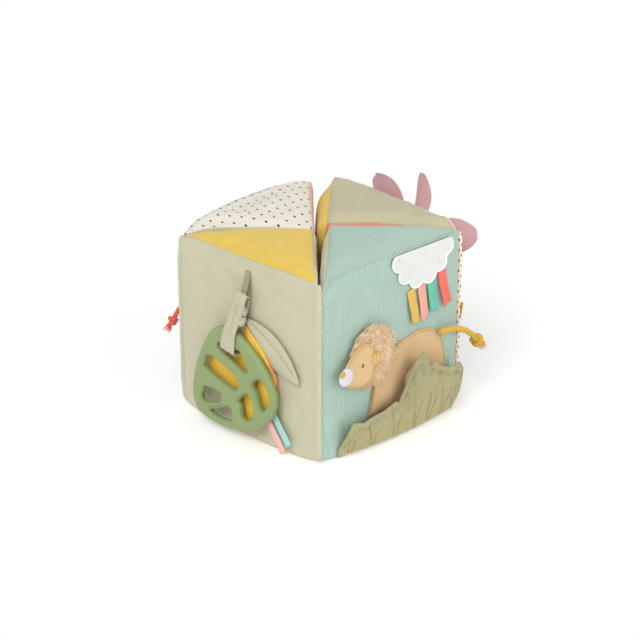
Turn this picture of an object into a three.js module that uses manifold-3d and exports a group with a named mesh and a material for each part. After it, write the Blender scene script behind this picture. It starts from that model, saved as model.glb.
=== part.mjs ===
// A soft folding activity cube for babies: four stuffed wedges, joined by cloth hinges at three
// upright edges, with sewn flaps, ribbons and a teether on their outer faces.
// Millimetres, +Z up. The floor is z = 0 and the wedges' inner edges meet on the Z axis.

import * as THREE from 'three';
import { mergeVertices } from 'three/addons/utils/BufferGeometryUtils.js';
import Module from 'manifold-3d';

const wasm = await Module();
wasm.setup();

// Driving sizes of the cube
const SIDE = 150;              // seam to seam, along one outer face
const HEIGHT = 150;            // floor to top seam
const PANEL = 1.6;             // cloth with its wadding
const SEAM_GAP = 0.3;          // between two pieces that are sewn together or touch
const OUTER_CROWN = 2.0;       // how far an outer face swells past its seams
const INNER_CROWN = 0.9;       // the same for a face that another wedge presses on
const TOP_CROWN = 2.0;
const INNER_INSET = 1.3;       // an inner face's seams stand back from the diagonal
const CROWN_POWER = 8;         // high, because the stuffing holds the faces flat
const REST_OPEN_DEG = 3.4;     // the left pair of wedges stands a little open at the back
const PANEL_STEPS = 8;
const BLUNT = 3.8;             // the stuffing stops short of a wedge's sharp corners

// Sound makers in pockets of the stuffing
const RATTLE_RADIUS = 14;
const RATTLE_LENGTH = 40;
const SQUEAKER_RADIUS = 17;
const SQUEAKER_HEIGHT = 22;
const SOUND_Z = 70;            // height of their middles
const SOUND_DEPTH = 9;         // stuffing between them and the outer panel
const POCKET_GAP = 0.5;
const ROUND_SIDES = 20;

// Leaf face. Places on a face are x, from its middle to the right as one faces it, and z,
// the height from the floor; "out" is the distance in front of the seams.
const RIBBON = 0.8;
const LOOP_DROP = 11;          // from the top seam down to where the loop is sewn on
const LOOP_WIDTH = 6.4;
const STRAP_WIDTH = 17;
const STRAP = 1.0;
const BAR_RADIUS = 1.6;        // the strap, gathered to a cord where it passes through the loop
const BAR_CLEAR = 0.4;
const KNOT_WIDTH = 22;
const KNOT_HEIGHT = 17;
const KNOT_SLOT = 9;           // width of the gap in the knot that the loop hangs in
const KNOT_SLOT_DEPTH = 9;
const KNOT_GAP = 4.6;          // between the knot and the teether's top
const TEETHER_THICK = 7;
const TEETHER_BEVEL = 1.5;
const TEETHER_WIDTH = 93;
const TEETHER_HEIGHT = 90;
const TEETHER_FLOOR_GAP = 6;
const TEETHER_RIM = 22;        // depth of the rim that the strap passes round
const CRINKLE_CLOTH = 1.8;
const CRINKLE_BACKING = 0.8;
const CRINKLE_MARGIN = 2;      // how much smaller the backing is, all round
const CRINKLE_X = -1;
const CRINKLE_TOP = 100.4;
const CRINKLE_LENGTH = 82;
const CRINKLE_WIDTH = 60;
const CRINKLE_TURN_DEG = 6;
const PADDED_LENGTH = 58;
const PADDED_WIDTH = 19;
const PADDED_THICK = 4.6;
const PADDED_X = 14.5;
const PADDED_Z = 107.5;
const PADDED_TURN_DEG = 57;    // from straight down, towards the right
const TAG_WIDTH = 7.5;
const TAG_LENGTH = 43;
const TAG_TURN_DEG = 41;

// Lion face
const CLOUD_THICK = 1.4;
const CLOUD_LEFT = -4;
const CLOUD_RIGHT = 64;
const CLOUD_DEPTH = 33;
const CLOUD_LOBES = 6;
const CLOUD_RIBBONS = 4;
const CLOUD_RIBBON_WIDTH = 8.6;
const CLOUD_RIBBON_PITCH = 11.2;
const CLOUD_RIBBON_X = 19;     // middle of the first ribbon
const CLOUD_RIBBON_END = 88;   // height of their lower ends
const LION_THICK = 2.0;
const LION_RUMP = 57;          // x of the body's right end
const LION_LENGTH = 84;
const LION_BACK = 81;          // height of its back
const MANE_RADIUS = 24;
const MANE_CURLS = 11;
const MANE_CURL = 1.4;
const MANE_THICK = 3;
const MANE_X = -25;
const MANE_Z = 77;
const FACE_THICK = 1.2;
const FACE_WIDTH = 33;
const FACE_HEIGHT = 34;
const MUZZLE_THICK = 1.0;
const MUZZLE_RADIUS = 7.6;
const GRASS_THICK = 1.2;
const GRASS_BASE = 1.2;        // height of the fold that it turns down about
const GRASS_LEFT = -57;
const GRASS_WIDTH = 127;
const GRASS_PEAK = 66;
const GRASS_LEAN_DEG = 10;

// Flower face
const PETALS = 5;
const PETAL_LENGTH = 48;
const PETAL_WIDTH = 26;
const PETAL_BELLY = 1.1;
// each petal's own share of that length, width and lift, clockwise from the upper one
const PETAL_SHARES = [[0.94, 0.62, 1], [1.17, 1.2, 0.86], [1, 1, 1], [1, 1, 1], [1, 1.12, 1]];
const PETAL_THICK = 2.0;
const PETAL_LIFT_DEG = 21;     // how far a petal stands away from the face
const PETAL_CLEAR = 1.5;       // from the button's foot, so that a petal can lift
const FLOWER_X = -18;
const FLOWER_Z = 126;
const FLOWER_TURN_DEG = -8;
const BUTTON_RADIUS = 6.5;
const BUTTON_THICK = 5;
const STEM_LENGTH = 41;
const STEM_WIDTH = 15;
const STEM_THICK = 2.0;
const STEM_X = -50;
const STEM_Z = 50;
const STEM_TURN_DEG = -28;

// Elephant face, at the back
const ELEPHANT_THICK = 2.2;
const ELEPHANT_FOOT = 20;
const ELEPHANT_RUMP = 52;      // x of the body's right end
const ELEPHANT_LENGTH = 112;
const ELEPHANT_HEIGHT = 73;
const EAR_LENGTH = 30;
const EAR_WIDTH = 24;
const EAR_THICK = 2.2;
const EAR_X = -14;
const EAR_Z = 86;

// Cord tails
const LION_CORD = 5.0;
const LION_TAIL = 42;          // how far the tail reaches to the side
const LION_TAIL_ROOT = 11;     // from the rump in to the tail's root
const ELEPHANT_CORD = 4.2;
const ELEPHANT_TAIL = 30;
const ELEPHANT_TAIL_ROOT = 8;
const CORD_SIDES = 8;
const CORD_STEPS = 9;
const KNOT_FACTOR = 1.1;       // a knot's radius over its cord's diameter
const FRAY_FACTOR = 0.95;
// Routes from the root: along and up in shares of the reach, out in cord diameters
const LION_TAIL_PATH = [
  [0, 0, 0], [0.17, 0.05, 0], [0.36, 0.06, -0.1], [0.55, 0.01, -0.16], [0.74, -0.11, -0.2],
  [0.9, -0.3, -0.3], [1, -0.44, -0.4],
];
const ELEPHANT_TAIL_PATH = [
  [0, 0, 0], [0.2, 0.12, 0.12], [0.43, 0.17, 0.48], [0.67, 0.13, 0.83], [0.87, 0, 1.07],
  [1, -0.2, 1.19],
];

const HALF = SIDE / 2;
const ON_FACE = OUTER_CROWN + SEAM_GAP;   // where a flat piece lies on a crowned face
const rad = THREE.MathUtils.degToRad;

const FABRIC = {
  sage: 0xc9c5a9, topSage: 0xbfb998, aqua: 0xa9c3b5, mustard: 0xe3c255, ecru: 0xe6e0d2,
  coral: 0xe58b76, peach: 0xe9bfae, olive: 0xa8a17c, mauve: 0xc2969b, tan: 0xdebc8c,
  plush: 0xd9b69a, grass: 0xb0aa80, white: 0xf1f1ee, foam: 0xf4f2ea, red: 0xf06450,
  teal: 0x5abea0, pink: 0xfabeb4, skyAqua: 0xa5dcd7, gold: 0xe0ac32, grey: 0x9fb4b0,
};
const cloth = (color, roughness = 0.9) =>
  new THREE.MeshStandardMaterial({ color, roughness, metalness: 0 });

function piece(name, geometry, material) {
  const mesh = new THREE.Mesh(geometry, material);
  mesh.name = name;
  return mesh;
}

// Closed meshes to solids and back, for cuts and joins

function toSolid(geometry) {
  const bare = geometry.index ? geometry.toNonIndexed() : geometry.clone();
  bare.deleteAttribute('normal');
  bare.deleteAttribute('uv');
  const merged = mergeVertices(bare, 1e-4);
  return new wasm.Manifold(new wasm.Mesh({
    numProp: 3,
    vertProperties: new Float32Array(merged.attributes.position.array),
    triVerts: new Uint32Array(merged.index.array),
  }));
}

function toGeometry(solid) {
  const mesh = solid.getMesh();
  const geometry = new THREE.BufferGeometry();
  geometry.setAttribute('position', new THREE.BufferAttribute(mesh.vertProperties, 3));
  geometry.setIndex(new THREE.BufferAttribute(mesh.triVerts, 1));
  return geometry;
}

function fromTriangles(points, triangles) {
  const geometry = new THREE.BufferGeometry();
  geometry.setAttribute('position', new THREE.Float32BufferAttribute(points.flat(), 3));
  geometry.setIndex(triangles.flat());
  return geometry;
}

// Sewn panels of a wedge

const lerp = (a, b, t) => a.map((value, i) => value + (b[i] - value) * t);

// A convex polygon drawn inwards, each side by its own distance; corners turn anticlockwise
function insetPolygon(corners, insets) {
  const lines = corners.map((a, i) => {
    const b = corners[(i + 1) % corners.length];
    const length = Math.hypot(b[0] - a[0], b[1] - a[1]);
    const normal = [-(b[1] - a[1]) / length, (b[0] - a[0]) / length];
    return { normal, reach: normal[0] * a[0] + normal[1] * a[1] + insets[i] };
  });
  return corners.map((_, i) => {
    const p = lines[(i + lines.length - 1) % lines.length];
    const q = lines[i];
    const det = p.normal[0] * q.normal[1] - p.normal[1] * q.normal[0];
    return [
      (p.reach * q.normal[1] - q.reach * p.normal[1]) / det,
      (q.reach * p.normal[0] - p.reach * q.normal[0]) / det,
    ];
  });
}

// Grid points over a four-sided panel, with the order of its rim
function quadGrid(corners, steps) {
  const points = [];
  const shares = [];
  for (let j = 0; j <= steps; j++) {
    for (let i = 0; i <= steps; i++) {
      const u = i / steps;
      const v = j / steps;
      points.push(lerp(lerp(corners[0], corners[1], u), lerp(corners[3], corners[2], u), v));
      shares.push((1 - Math.abs(2 * u - 1) ** CROWN_POWER) * (1 - Math.abs(2 * v - 1) ** CROWN_POWER));
    }
  }
  const at = (i, j) => j * (steps + 1) + i;
  const triangles = [];
  for (let j = 0; j < steps; j++) {
    for (let i = 0; i < steps; i++) {
      triangles.push([at(i, j), at(i + 1, j), at(i + 1, j + 1)]);
      triangles.push([at(i, j), at(i + 1, j + 1), at(i, j + 1)]);
    }
  }
  const rim = [];
  for (let i = 0; i < steps; i++) rim.push({ index: at(i, 0), side: 0, share: i / steps });
  for (let j = 0; j < steps; j++) rim.push({ index: at(steps, j), side: 1, share: j / steps });
  for (let i = steps; i > 0; i--) rim.push({ index: at(i, steps), side: 2, share: 1 - i / steps });
  for (let j = steps; j > 0; j--) rim.push({ index: at(0, j), side: 3, share: 1 - j / steps });
  return { points, shares, triangles, rim };
}

function triangleGrid(corners, steps) {
  const points = [];
  const shares = [];
  const rows = [];
  for (let j = 0; j <= steps; j++) {
    rows.push([]);
    for (let i = 0; i <= steps - j; i++) {
      const b = i / steps;
      const c = j / steps;
      const a = 1 - b - c;
      rows[j].push(points.length);
      points.push([0, 1].map((k) => a * corners[0][k] + b * corners[1][k] + c * corners[2][k]));
      shares.push(Math.min(1, 27 * a * b * c) ** 0.6);
    }
  }
  const triangles = [];
  for (let j = 0; j < steps; j++) {
    for (let i = 0; i < steps - j; i++) {
      triangles.push([rows[j][i], rows[j][i + 1], rows[j + 1][i]]);
      if (i < steps - j - 1) triangles.push([rows[j][i + 1], rows[j + 1][i + 1], rows[j + 1][i]]);
    }
  }
  const rim = [];
  for (let i = 0; i < steps; i++) rim.push({ index: rows[0][i], side: 0, share: i / steps });
  for (let j = 0; j < steps; j++) rim.push({ index: rows[j][steps - j], side: 1, share: j / steps });
  for (let j = steps; j > 0; j--) rim.push({ index: rows[j][0], side: 2, share: 1 - j / steps });
  return { points, shares, triangles, rim };
}

// A panel drawn in its own plane: swelling upwards, with sides that slope in to a flat back.
// slopes holds, side by side, how far each side runs in for one unit of depth.
function panel(corners, slopes, crown) {
  const grid = (corners.length === 4 ? quadGrid : triangleGrid)(corners, PANEL_STEPS);
  const back = insetPolygon(corners, slopes.map((slope) => slope * PANEL));
  const points = grid.points.map((p, i) => [p[0], p[1], crown * grid.shares[i]]);
  const triangles = [...grid.triangles];
  const first = points.length;
  for (const { side, share } of grid.rim) {
    points.push([...lerp(back[side], back[(side + 1) % back.length], share), -PANEL]);
  }
  const middle = points.length;
  points.push([...back.reduce((sum, p) => sum.map((v, k) => v + p[k] / back.length), [0, 0]), -PANEL]);
  grid.rim.forEach(({ index }, i) => {
    const next = (i + 1) % grid.rim.length;
    triangles.push([index, first + i, first + next], [index, first + next, grid.rim[next].index]);
    triangles.push([first + i, middle, first + next]);
  });
  return fromTriangles(points, triangles);
}

// One wedge, with its outer face towards -Y and its inner edge on the Z axis

const SQUARE_SLOPE = 1;                          // mitre of two panels at a right angle
const SHARP_SLOPE = 1 / Math.tan(rad(22.5));     // mitre at a sharp corner of the wedge
const SIDE_GAP = SEAM_GAP * Math.SQRT1_2;
const CORNER_INSET = INNER_INSET * Math.SQRT2 + 0.4;

function wedgeSection(depth) {
  // the triangle seen from above, moved in by depth from every face
  const tip = -(INNER_INSET + depth) * Math.SQRT2;
  const front = -HALF + depth;
  const reach = tip - front;
  return { tip, front, reach };
}

function stuffing(pocket) {
  const { tip, front, reach } = wedgeSection(PANEL + SEAM_GAP);
  const outline = new THREE.Shape([
    [-reach + BLUNT, front], [reach - BLUNT, front],
    [reach - BLUNT, front + BLUNT], [0, tip], [-reach + BLUNT, front + BLUNT],
  ].map(([x, y]) => new THREE.Vector2(x, y)));
  const floor = PANEL + SEAM_GAP;
  const block = new THREE.ExtrudeGeometry(outline, {
    depth: HEIGHT - 2 * floor, bevelEnabled: false,
  }).translate(0, 0, floor);
  return pocket ? toGeometry(toSolid(block).subtract(toSolid(pocket))) : block;
}

function wedge(name, colours, pocket) {
  const group = new THREE.Group();
  const add = (part, geometry, colour) => {
    const mesh = piece(`${name}_${part}`, geometry, cloth(colour));
    group.add(mesh);
    return mesh;
  };
  add('stuffing', stuffing(pocket), FABRIC.foam);

  const tall = [SIDE_GAP, HEIGHT - SIDE_GAP];
  const wide = HALF - CORNER_INSET;
  const outer = add('outer_panel', panel(
    [[-wide, tall[0]], [wide, tall[0]], [wide, tall[1]], [-wide, tall[1]]],
    [SQUARE_SLOPE, SHARP_SLOPE, SQUARE_SLOPE, SHARP_SLOPE], OUTER_CROWN), colours.outer);
  outer.rotation.x = Math.PI / 2;
  outer.position.y = -HALF;

  // the two inner faces run between the inner edge (near) and a sharp corner (far)
  const near = SIDE_GAP;
  const far = HALF * Math.SQRT2 - INNER_INSET - CORNER_INSET;
  const innerFaces = [
    { part: 'left_panel', ends: [near, far], turn: 225,
      slopes: [SQUARE_SLOPE, SHARP_SLOPE, SQUARE_SLOPE, SQUARE_SLOPE] },
    { part: 'right_panel', ends: [-far, -near], turn: 135,
      slopes: [SQUARE_SLOPE, SQUARE_SLOPE, SQUARE_SLOPE, SHARP_SLOPE] },
  ];
  for (const { part, ends, turn, slopes } of innerFaces) {
    const corners = [[ends[0], tall[0]], [ends[1], tall[0]], [ends[1], tall[1]], [ends[0], tall[1]]];
    const face = piece(`${name}_${part}`, panel(corners, slopes, INNER_CROWN), cloth(colours[part]));
    face.rotation.x = Math.PI / 2;
    const swing = new THREE.Group();
    swing.rotation.z = rad(turn);
    swing.position.y = -INNER_INSET * Math.SQRT2;
    swing.add(face);
    group.add(swing);
  }

  const { tip, front, reach } = wedgeSection(0);
  const flat = insetPolygon(
    [[-reach + CORNER_INSET, front], [reach - CORNER_INSET, front], [0, tip]],
    [SIDE_GAP, SIDE_GAP, SIDE_GAP]);
  const endSlopes = [SQUARE_SLOPE, SQUARE_SLOPE, SQUARE_SLOPE];
  add('top_panel', panel(flat, endSlopes, TOP_CROWN), colours.top).position.z = HEIGHT;
  const bottom = add('bottom_panel', panel(flat.map(([x, y]) => [-x, y]).reverse(), endSlopes, 0),
    colours.bottom);
  bottom.rotation.y = Math.PI;
  return group;
}

// Flat drawings on a face: x to the right, y up, extruded outwards

function shape(points) {
  const outline = points.map(([x, y]) => new THREE.Vector2(x, y));
  return new THREE.Shape(THREE.ShapeUtils.isClockWise(outline) ? outline.reverse() : outline);
}
// Points given in shares of a width and a height, from a corner or middle at x, y
const scaled = (shares, width, height, x = 0, y = 0) =>
  shares.map(([u, v]) => [x + u * width, y + v * height]);
const opening = (points) => new THREE.Path(points.map(([x, y]) => new THREE.Vector2(x, y)));
const sheet = (outline, thickness) =>
  new THREE.ExtrudeGeometry(outline, { depth: thickness, bevelEnabled: false, curveSegments: 10 });

// A smooth closed outline through a few points
function smooth(points, steps, tension = 0.5) {
  const curve = new THREE.CatmullRomCurve3(
    points.map(([x, y]) => new THREE.Vector3(x, y, 0)), true, 'catmullrom', tension);
  return curve.getPoints(steps).slice(0, -1).map(({ x, y }) => [x, y]);
}

// Half width of a leaf at a share of its length; its root and tip are a little blunt, and a
// larger belly puts its widest part nearer the tip
const leafHalf = (width, share, belly = 0.8) =>
  (width / 2) * Math.sin(Math.PI * (0.03 + 0.94 * share) ** belly);

// A leaf from its root at the origin to its tip straight up, as an outline
function leafOutline(length, width, belly) {
  const stations = 12;
  const shares = Array.from({ length: stations + 1 }, (_, i) => i / stations);
  const right = shares.map((share) => [leafHalf(width, share, belly), length * share]);
  const left = shares.map((share) => [-leafHalf(width, share, belly), length * share]).reverse();
  return [...right, ...left];
}

// A stuffed leaf: a lens in section, with its seam half way up
function stuffedLeaf(length, width, thickness, stations = 12) {
  const points = [[0, 0, thickness / 2]];
  for (let i = 1; i < stations; i++) {
    const share = i / stations;
    const half = leafHalf(width, share);
    const swell = (thickness / 2) * Math.sqrt(half / (width / 2));
    const y = length * share;
    for (const [across, rise] of [[1, 0], [0.55, 0.8], [0, 1], [-0.55, 0.8], [-1, 0],
      [-0.55, -0.8], [0, -1], [0.55, -0.8]]) {
      points.push([half * across, y, thickness / 2 + swell * rise]);
    }
  }
  const tip = points.push([0, length, thickness / 2]) - 1;
  const around = 8;
  const at = (i, k) => 1 + (i - 1) * around + (k % around);
  const triangles = [];
  for (let k = 0; k < around; k++) {
    triangles.push([0, at(1, k), at(1, k + 1)], [tip, at(stations - 1, k + 1), at(stations - 1, k)]);
    for (let i = 1; i < stations - 1; i++) {
      triangles.push([at(i, k), at(i + 1, k + 1), at(i, k + 1)]);
      triangles.push([at(i, k), at(i + 1, k), at(i + 1, k + 1)]);
    }
  }
  return fromTriangles(points, triangles);
}

// The outer face of a wedge, as a group to draw on
function faceOf(group) {
  const face = new THREE.Group();
  face.rotation.x = Math.PI / 2;
  face.position.y = -HALF;
  group.add(face);
  return face;
}

function place(parent, mesh, x, y, out, turnDeg = 0) {
  mesh.position.set(x, y, out);
  mesh.rotation.z = rad(turnDeg);
  parent.add(mesh);
  return mesh;
}

// A cord's free stretch, and the knot with its frayed end that closes it

function cordTail(parent, name, points, diameter, colour) {
  const path = new THREE.CatmullRomCurve3(points.map((p) => new THREE.Vector3(...p)));
  const ring = Array.from({ length: CORD_SIDES }, (_, i) => {
    const angle = (2 * Math.PI * i) / CORD_SIDES;
    return [Math.cos(angle) * diameter / 2, Math.sin(angle) * diameter / 2];
  });
  const tube = new THREE.ExtrudeGeometry(shape(ring), {
    steps: CORD_STEPS, extrudePath: path, bevelEnabled: false,
  });
  parent.add(piece(`${name}_tail_cord`, tube, cloth(colour)));

  const fat = diameter * KNOT_FACTOR;
  const fray = diameter * FRAY_FACTOR;
  const profile = [
    [0, 0], [fat * 0.6, 0.2], [fat, fat * 0.7], [fat, fat * 1.3], [fat * 0.55, fat * 1.9],
    [fray * 0.75, fat * 2.5], [fray, fat * 3.4], [0, fat * 3.5],
  ].map(([r, y]) => new THREE.Vector2(r, y));
  const knot = piece(`${name}_tail_knot`, new THREE.LatheGeometry(profile, 12), cloth(colour));
  const heading = path.getTangent(1);
  knot.position.copy(path.getPoint(1)).addScaledVector(heading, SEAM_GAP);
  knot.quaternion.setFromUnitVectors(new THREE.Vector3(0, 1, 0), heading);
  parent.add(knot);
}

// Leaf face: the strap's knot stands over the teether, and the loop holds the knot's bar
const KNOT_BOTTOM = TEETHER_FLOOR_GAP + TEETHER_HEIGHT + KNOT_GAP;
const KNOT_TOP = KNOT_BOTTOM + KNOT_HEIGHT;
const BAR_Z = KNOT_TOP - BAR_RADIUS;
const LOOP_TOP = HEIGHT - LOOP_DROP;
const RIM_BOTTOM = TEETHER_FLOOR_GAP + TEETHER_HEIGHT - TEETHER_RIM;

// How far out each layer of the leaf face lies
const BACKING_OUT = ON_FACE;
const CRINKLE_OUT = BACKING_OUT + CRINKLE_BACKING + SEAM_GAP;
const TAG_OUT = CRINKLE_OUT + CRINKLE_CLOTH + SEAM_GAP;
const STRAP_BACK_OUT = TAG_OUT;
const TEETHER_OUT = STRAP_BACK_OUT + STRAP + SEAM_GAP;
const STRAP_FRONT_OUT = TEETHER_OUT + TEETHER_THICK + SEAM_GAP;
const STRAP_DEPTH = STRAP_FRONT_OUT + STRAP - STRAP_BACK_OUT;
const BAR_OUT = STRAP_BACK_OUT + STRAP_DEPTH / 2;

function hangingLoop(face) {
  // a ribbon's edge seen from the side: round the bar, then up to a point on the face
  const rise = LOOP_TOP - BAR_Z;
  const inward = ON_FACE + RIBBON / 2 - BAR_OUT;
  const drop = (radius, reach) => {
    const start = Math.atan2(rise, inward) + Math.PI / 2;
    const arc = Array.from({ length: 13 }, (_, i) => start + (Math.PI * i) / 12);
    const round = arc.map((angle) => [Math.cos(angle) * radius, Math.sin(angle) * radius]);
    return [...round, [inward * reach, rise * reach]].map(([out, z]) => [BAR_OUT + out, BAR_Z + z]);
  };
  const hole = BAR_RADIUS + BAR_CLEAR;
  const outline = shape(drop(hole + RIBBON, 1));
  outline.holes.push(opening(drop(hole, hole / (hole + RIBBON))));
  const loop = piece('leaf_hanging_loop', sheet(outline, LOOP_WIDTH), cloth(FABRIC.olive));
  // the drawing's x becomes out, and its extrusion runs along the face
  loop.rotation.y = -Math.PI / 2;
  loop.position.x = LOOP_WIDTH / 2;
  face.add(loop);
}

function teetherStrap(face) {
  const shoulder = KNOT_TOP - KNOT_HEIGHT * 0.18;
  const knotSide = shape(smooth([
    [STRAP_BACK_OUT, KNOT_BOTTOM], [STRAP_BACK_OUT, shoulder], [BAR_OUT, KNOT_TOP],
    [STRAP_FRONT_OUT + STRAP, shoulder], [STRAP_FRONT_OUT + STRAP, KNOT_BOTTOM],
  ], 20, 0.2));
  const sideways = (outline, width) => {
    const geometry = sheet(outline, width);
    return toSolid(geometry.rotateY(-Math.PI / 2).translate(width / 2, 0, 0));
  };
  const slotLow = KNOT_TOP - KNOT_SLOT_DEPTH;
  const slot = new THREE.BoxGeometry(KNOT_SLOT, HEIGHT, HEIGHT).translate(0, slotLow + HEIGHT / 2, 0);
  const bar = new THREE.CylinderGeometry(BAR_RADIUS, BAR_RADIUS, KNOT_SLOT + 2, 10)
    .rotateZ(Math.PI / 2).translate(0, BAR_Z, BAR_OUT);
  const hem = RIM_BOTTOM - SEAM_GAP;
  const start = KNOT_BOTTOM + KNOT_HEIGHT * 0.12;
  const band = shape([
    [STRAP_BACK_OUT, start], [STRAP_BACK_OUT, hem - STRAP], [STRAP_FRONT_OUT + STRAP, hem - STRAP],
    [STRAP_FRONT_OUT + STRAP, start], [STRAP_FRONT_OUT, start], [STRAP_FRONT_OUT, hem],
    [STRAP_BACK_OUT + STRAP, hem], [STRAP_BACK_OUT + STRAP, start],
  ]);
  const knot = sideways(knotSide, KNOT_WIDTH).subtract(toSolid(slot));
  const strap = knot.add(toSolid(bar)).add(sideways(band, STRAP_WIDTH));
  face.add(piece('teether_strap', toGeometry(strap), cloth(FABRIC.sage)));
}

// The teether's outline and slots are shares of its width and height, from its lower middle
const TEETHER_OUTLINE = [
  [0.0, 1.0], [0.23, 0.94], [0.43, 0.75], [0.5, 0.5], [0.42, 0.27], [0.22, 0.08],
  [-0.03, 0.0], [-0.3, 0.0], [-0.46, 0.07], [-0.49, 0.24], [-0.4, 0.56], [-0.25, 0.85],
];
const TEETHER_SLOTS = {
  vein_high: [[-0.29, 0.61], [-0.2, 0.63], [0.06, 0.53], [0.05, 0.43], [-0.03, 0.41], [-0.3, 0.53]],
  vein_left: [[-0.36, 0.26], [-0.28, 0.35], [-0.17, 0.31], [-0.18, 0.24], [-0.37, 0.17]],
  vein_low: [[-0.28, 0.1], [-0.14, 0.17], [-0.04, 0.23], [-0.01, 0.11], [-0.12, 0.08]],
  vein_right: [[0.16, 0.41], [0.23, 0.36], [0.22, 0.2], [0.12, 0.18], [0.08, 0.31]],
  vein_far: [[0.29, 0.58], [0.4, 0.52], [0.4, 0.43], [0.32, 0.33], [0.24, 0.52]],
};
// The strap's slot in shares of the strap's width, from the rim's lower edge
const STRAP_SLOT = [
  [-0.91, 0.14], [-0.56, 0.094], [0, 0], [0.56, 0.094], [0.97, -0.53], [0.68, -0.88],
  [-0.12, -0.5], [-0.91, -0.21],
];
const teetherPoint = ([x, y]) => [x * TEETHER_WIDTH, TEETHER_FLOOR_GAP + y * TEETHER_HEIGHT];

function teether(face) {
  const outline = shape(smooth(TEETHER_OUTLINE.map(teetherPoint), 36));
  // the strap's slot: its upper edge falls away to both sides, so that the leaf can swing
  const strapSlot = STRAP_SLOT.map(([x, y]) => [x * STRAP_WIDTH, RIM_BOTTOM + y * STRAP_WIDTH]);
  outline.holes.push(opening(strapSlot));
  for (const slot of Object.values(TEETHER_SLOTS)) {
    outline.holes.push(opening(smooth(slot.map(teetherPoint), slot.length * 2, 0.3)));
  }
  const geometry = new THREE.ExtrudeGeometry(outline, {
    depth: TEETHER_THICK - 2 * TEETHER_BEVEL,
    bevelThickness: TEETHER_BEVEL, bevelSize: TEETHER_BEVEL, bevelOffset: -TEETHER_BEVEL,
    bevelSegments: 1,
  });
  place(face, piece('silicone_teether', geometry, cloth(0x94aa76, 0.5)), 0, 0, TEETHER_OUT + TEETHER_BEVEL);
}

function leafFace(group) {
  const face = faceOf(group);
  hangingLoop(face);
  teetherStrap(face);
  teether(face);
  const down = 180 + CRINKLE_TURN_DEG;
  const backing = sheet(shape(leafOutline(
    CRINKLE_LENGTH - 2 * CRINKLE_MARGIN, CRINKLE_WIDTH - 2 * CRINKLE_MARGIN)), CRINKLE_BACKING)
    .translate(0, CRINKLE_MARGIN, 0);
  place(face, piece('crinkle_leaf_backing', backing, cloth(FABRIC.coral)),
    CRINKLE_X, CRINKLE_TOP, BACKING_OUT, down);
  const front = sheet(shape(leafOutline(CRINKLE_LENGTH, CRINKLE_WIDTH)), CRINKLE_CLOTH);
  place(face, piece('crinkle_leaf', front, cloth(FABRIC.mustard)),
    CRINKLE_X, CRINKLE_TOP, CRINKLE_OUT, down);
  place(face, piece('padded_leaf', stuffedLeaf(PADDED_LENGTH, PADDED_WIDTH, PADDED_THICK),
    cloth(FABRIC.sage)), PADDED_X, PADDED_Z, ON_FACE, 180 + PADDED_TURN_DEG);
  // two ribbon tags, sewn on the crinkle leaf's lower edge
  const tags = [
    { name: 'aqua_ribbon_tag', share: 0.71, length: TAG_LENGTH, colour: FABRIC.skyAqua },
    { name: 'pink_ribbon_tag', share: 0.85, length: TAG_LENGTH * 0.9, colour: FABRIC.pink },
  ];
  for (const { name, share, length, colour } of tags) {
    const half = leafHalf(CRINKLE_WIDTH, share) - TAG_WIDTH / 2;
    const turn = rad(down);
    const x = CRINKLE_X + half * -Math.cos(turn) - CRINKLE_LENGTH * share * Math.sin(turn);
    const y = CRINKLE_TOP + half * -Math.sin(turn) + CRINKLE_LENGTH * share * Math.cos(turn);
    const ribbon = new THREE.BoxGeometry(TAG_WIDTH, length, RIBBON).translate(0, length / 2, RIBBON / 2);
    place(face, piece(name, ribbon, cloth(colour, 0.5)), x, y, TAG_OUT, 180 + TAG_TURN_DEG);
  }
}

// Lion face

function cloudOutline() {
  const middle = (CLOUD_LEFT + CLOUD_RIGHT) / 2;
  const half = (CLOUD_RIGHT - CLOUD_LEFT) / 2;
  const top = HEIGHT - SIDE_GAP - 2 * SEAM_GAP;
  const steps = CLOUD_LOBES * 5;
  const points = [];
  for (let i = 0; i <= steps; i++) {
    const angle = Math.PI + (Math.PI * i) / steps;
    const lobe = 0.88 + 0.12 * Math.abs(Math.sin((angle * CLOUD_LOBES)));
    points.push([middle + half * Math.cos(angle) * lobe, top + CLOUD_DEPTH * Math.sin(angle) * lobe]);
  }
  return points;
}

function cloudRibbons(face, cloud) {
  const colours = [FABRIC.gold, FABRIC.coral, FABRIC.teal, FABRIC.red];
  for (let i = 0; i < CLOUD_RIBBONS; i++) {
    const x = CLOUD_RIBBON_X + i * CLOUD_RIBBON_PITCH;
    const reach = CLOUD_RIBBON_WIDTH / 2 + SEAM_GAP;
    const near = cloud.filter((p) => Math.abs(p[0] - x) < reach + 1.5).map((p) => p[1]);
    const top = Math.min(...near) - SEAM_GAP;
    const ribbon = new THREE.BoxGeometry(CLOUD_RIBBON_WIDTH, top - CLOUD_RIBBON_END, RIBBON)
      .translate(x, (top + CLOUD_RIBBON_END) / 2, RIBBON / 2);
    const colour = colours[i % colours.length];
    place(face, piece(`cloud_ribbon_${i + 1}`, ribbon, cloth(colour, 0.5)), 0, 0, ON_FACE);
  }
}

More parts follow.
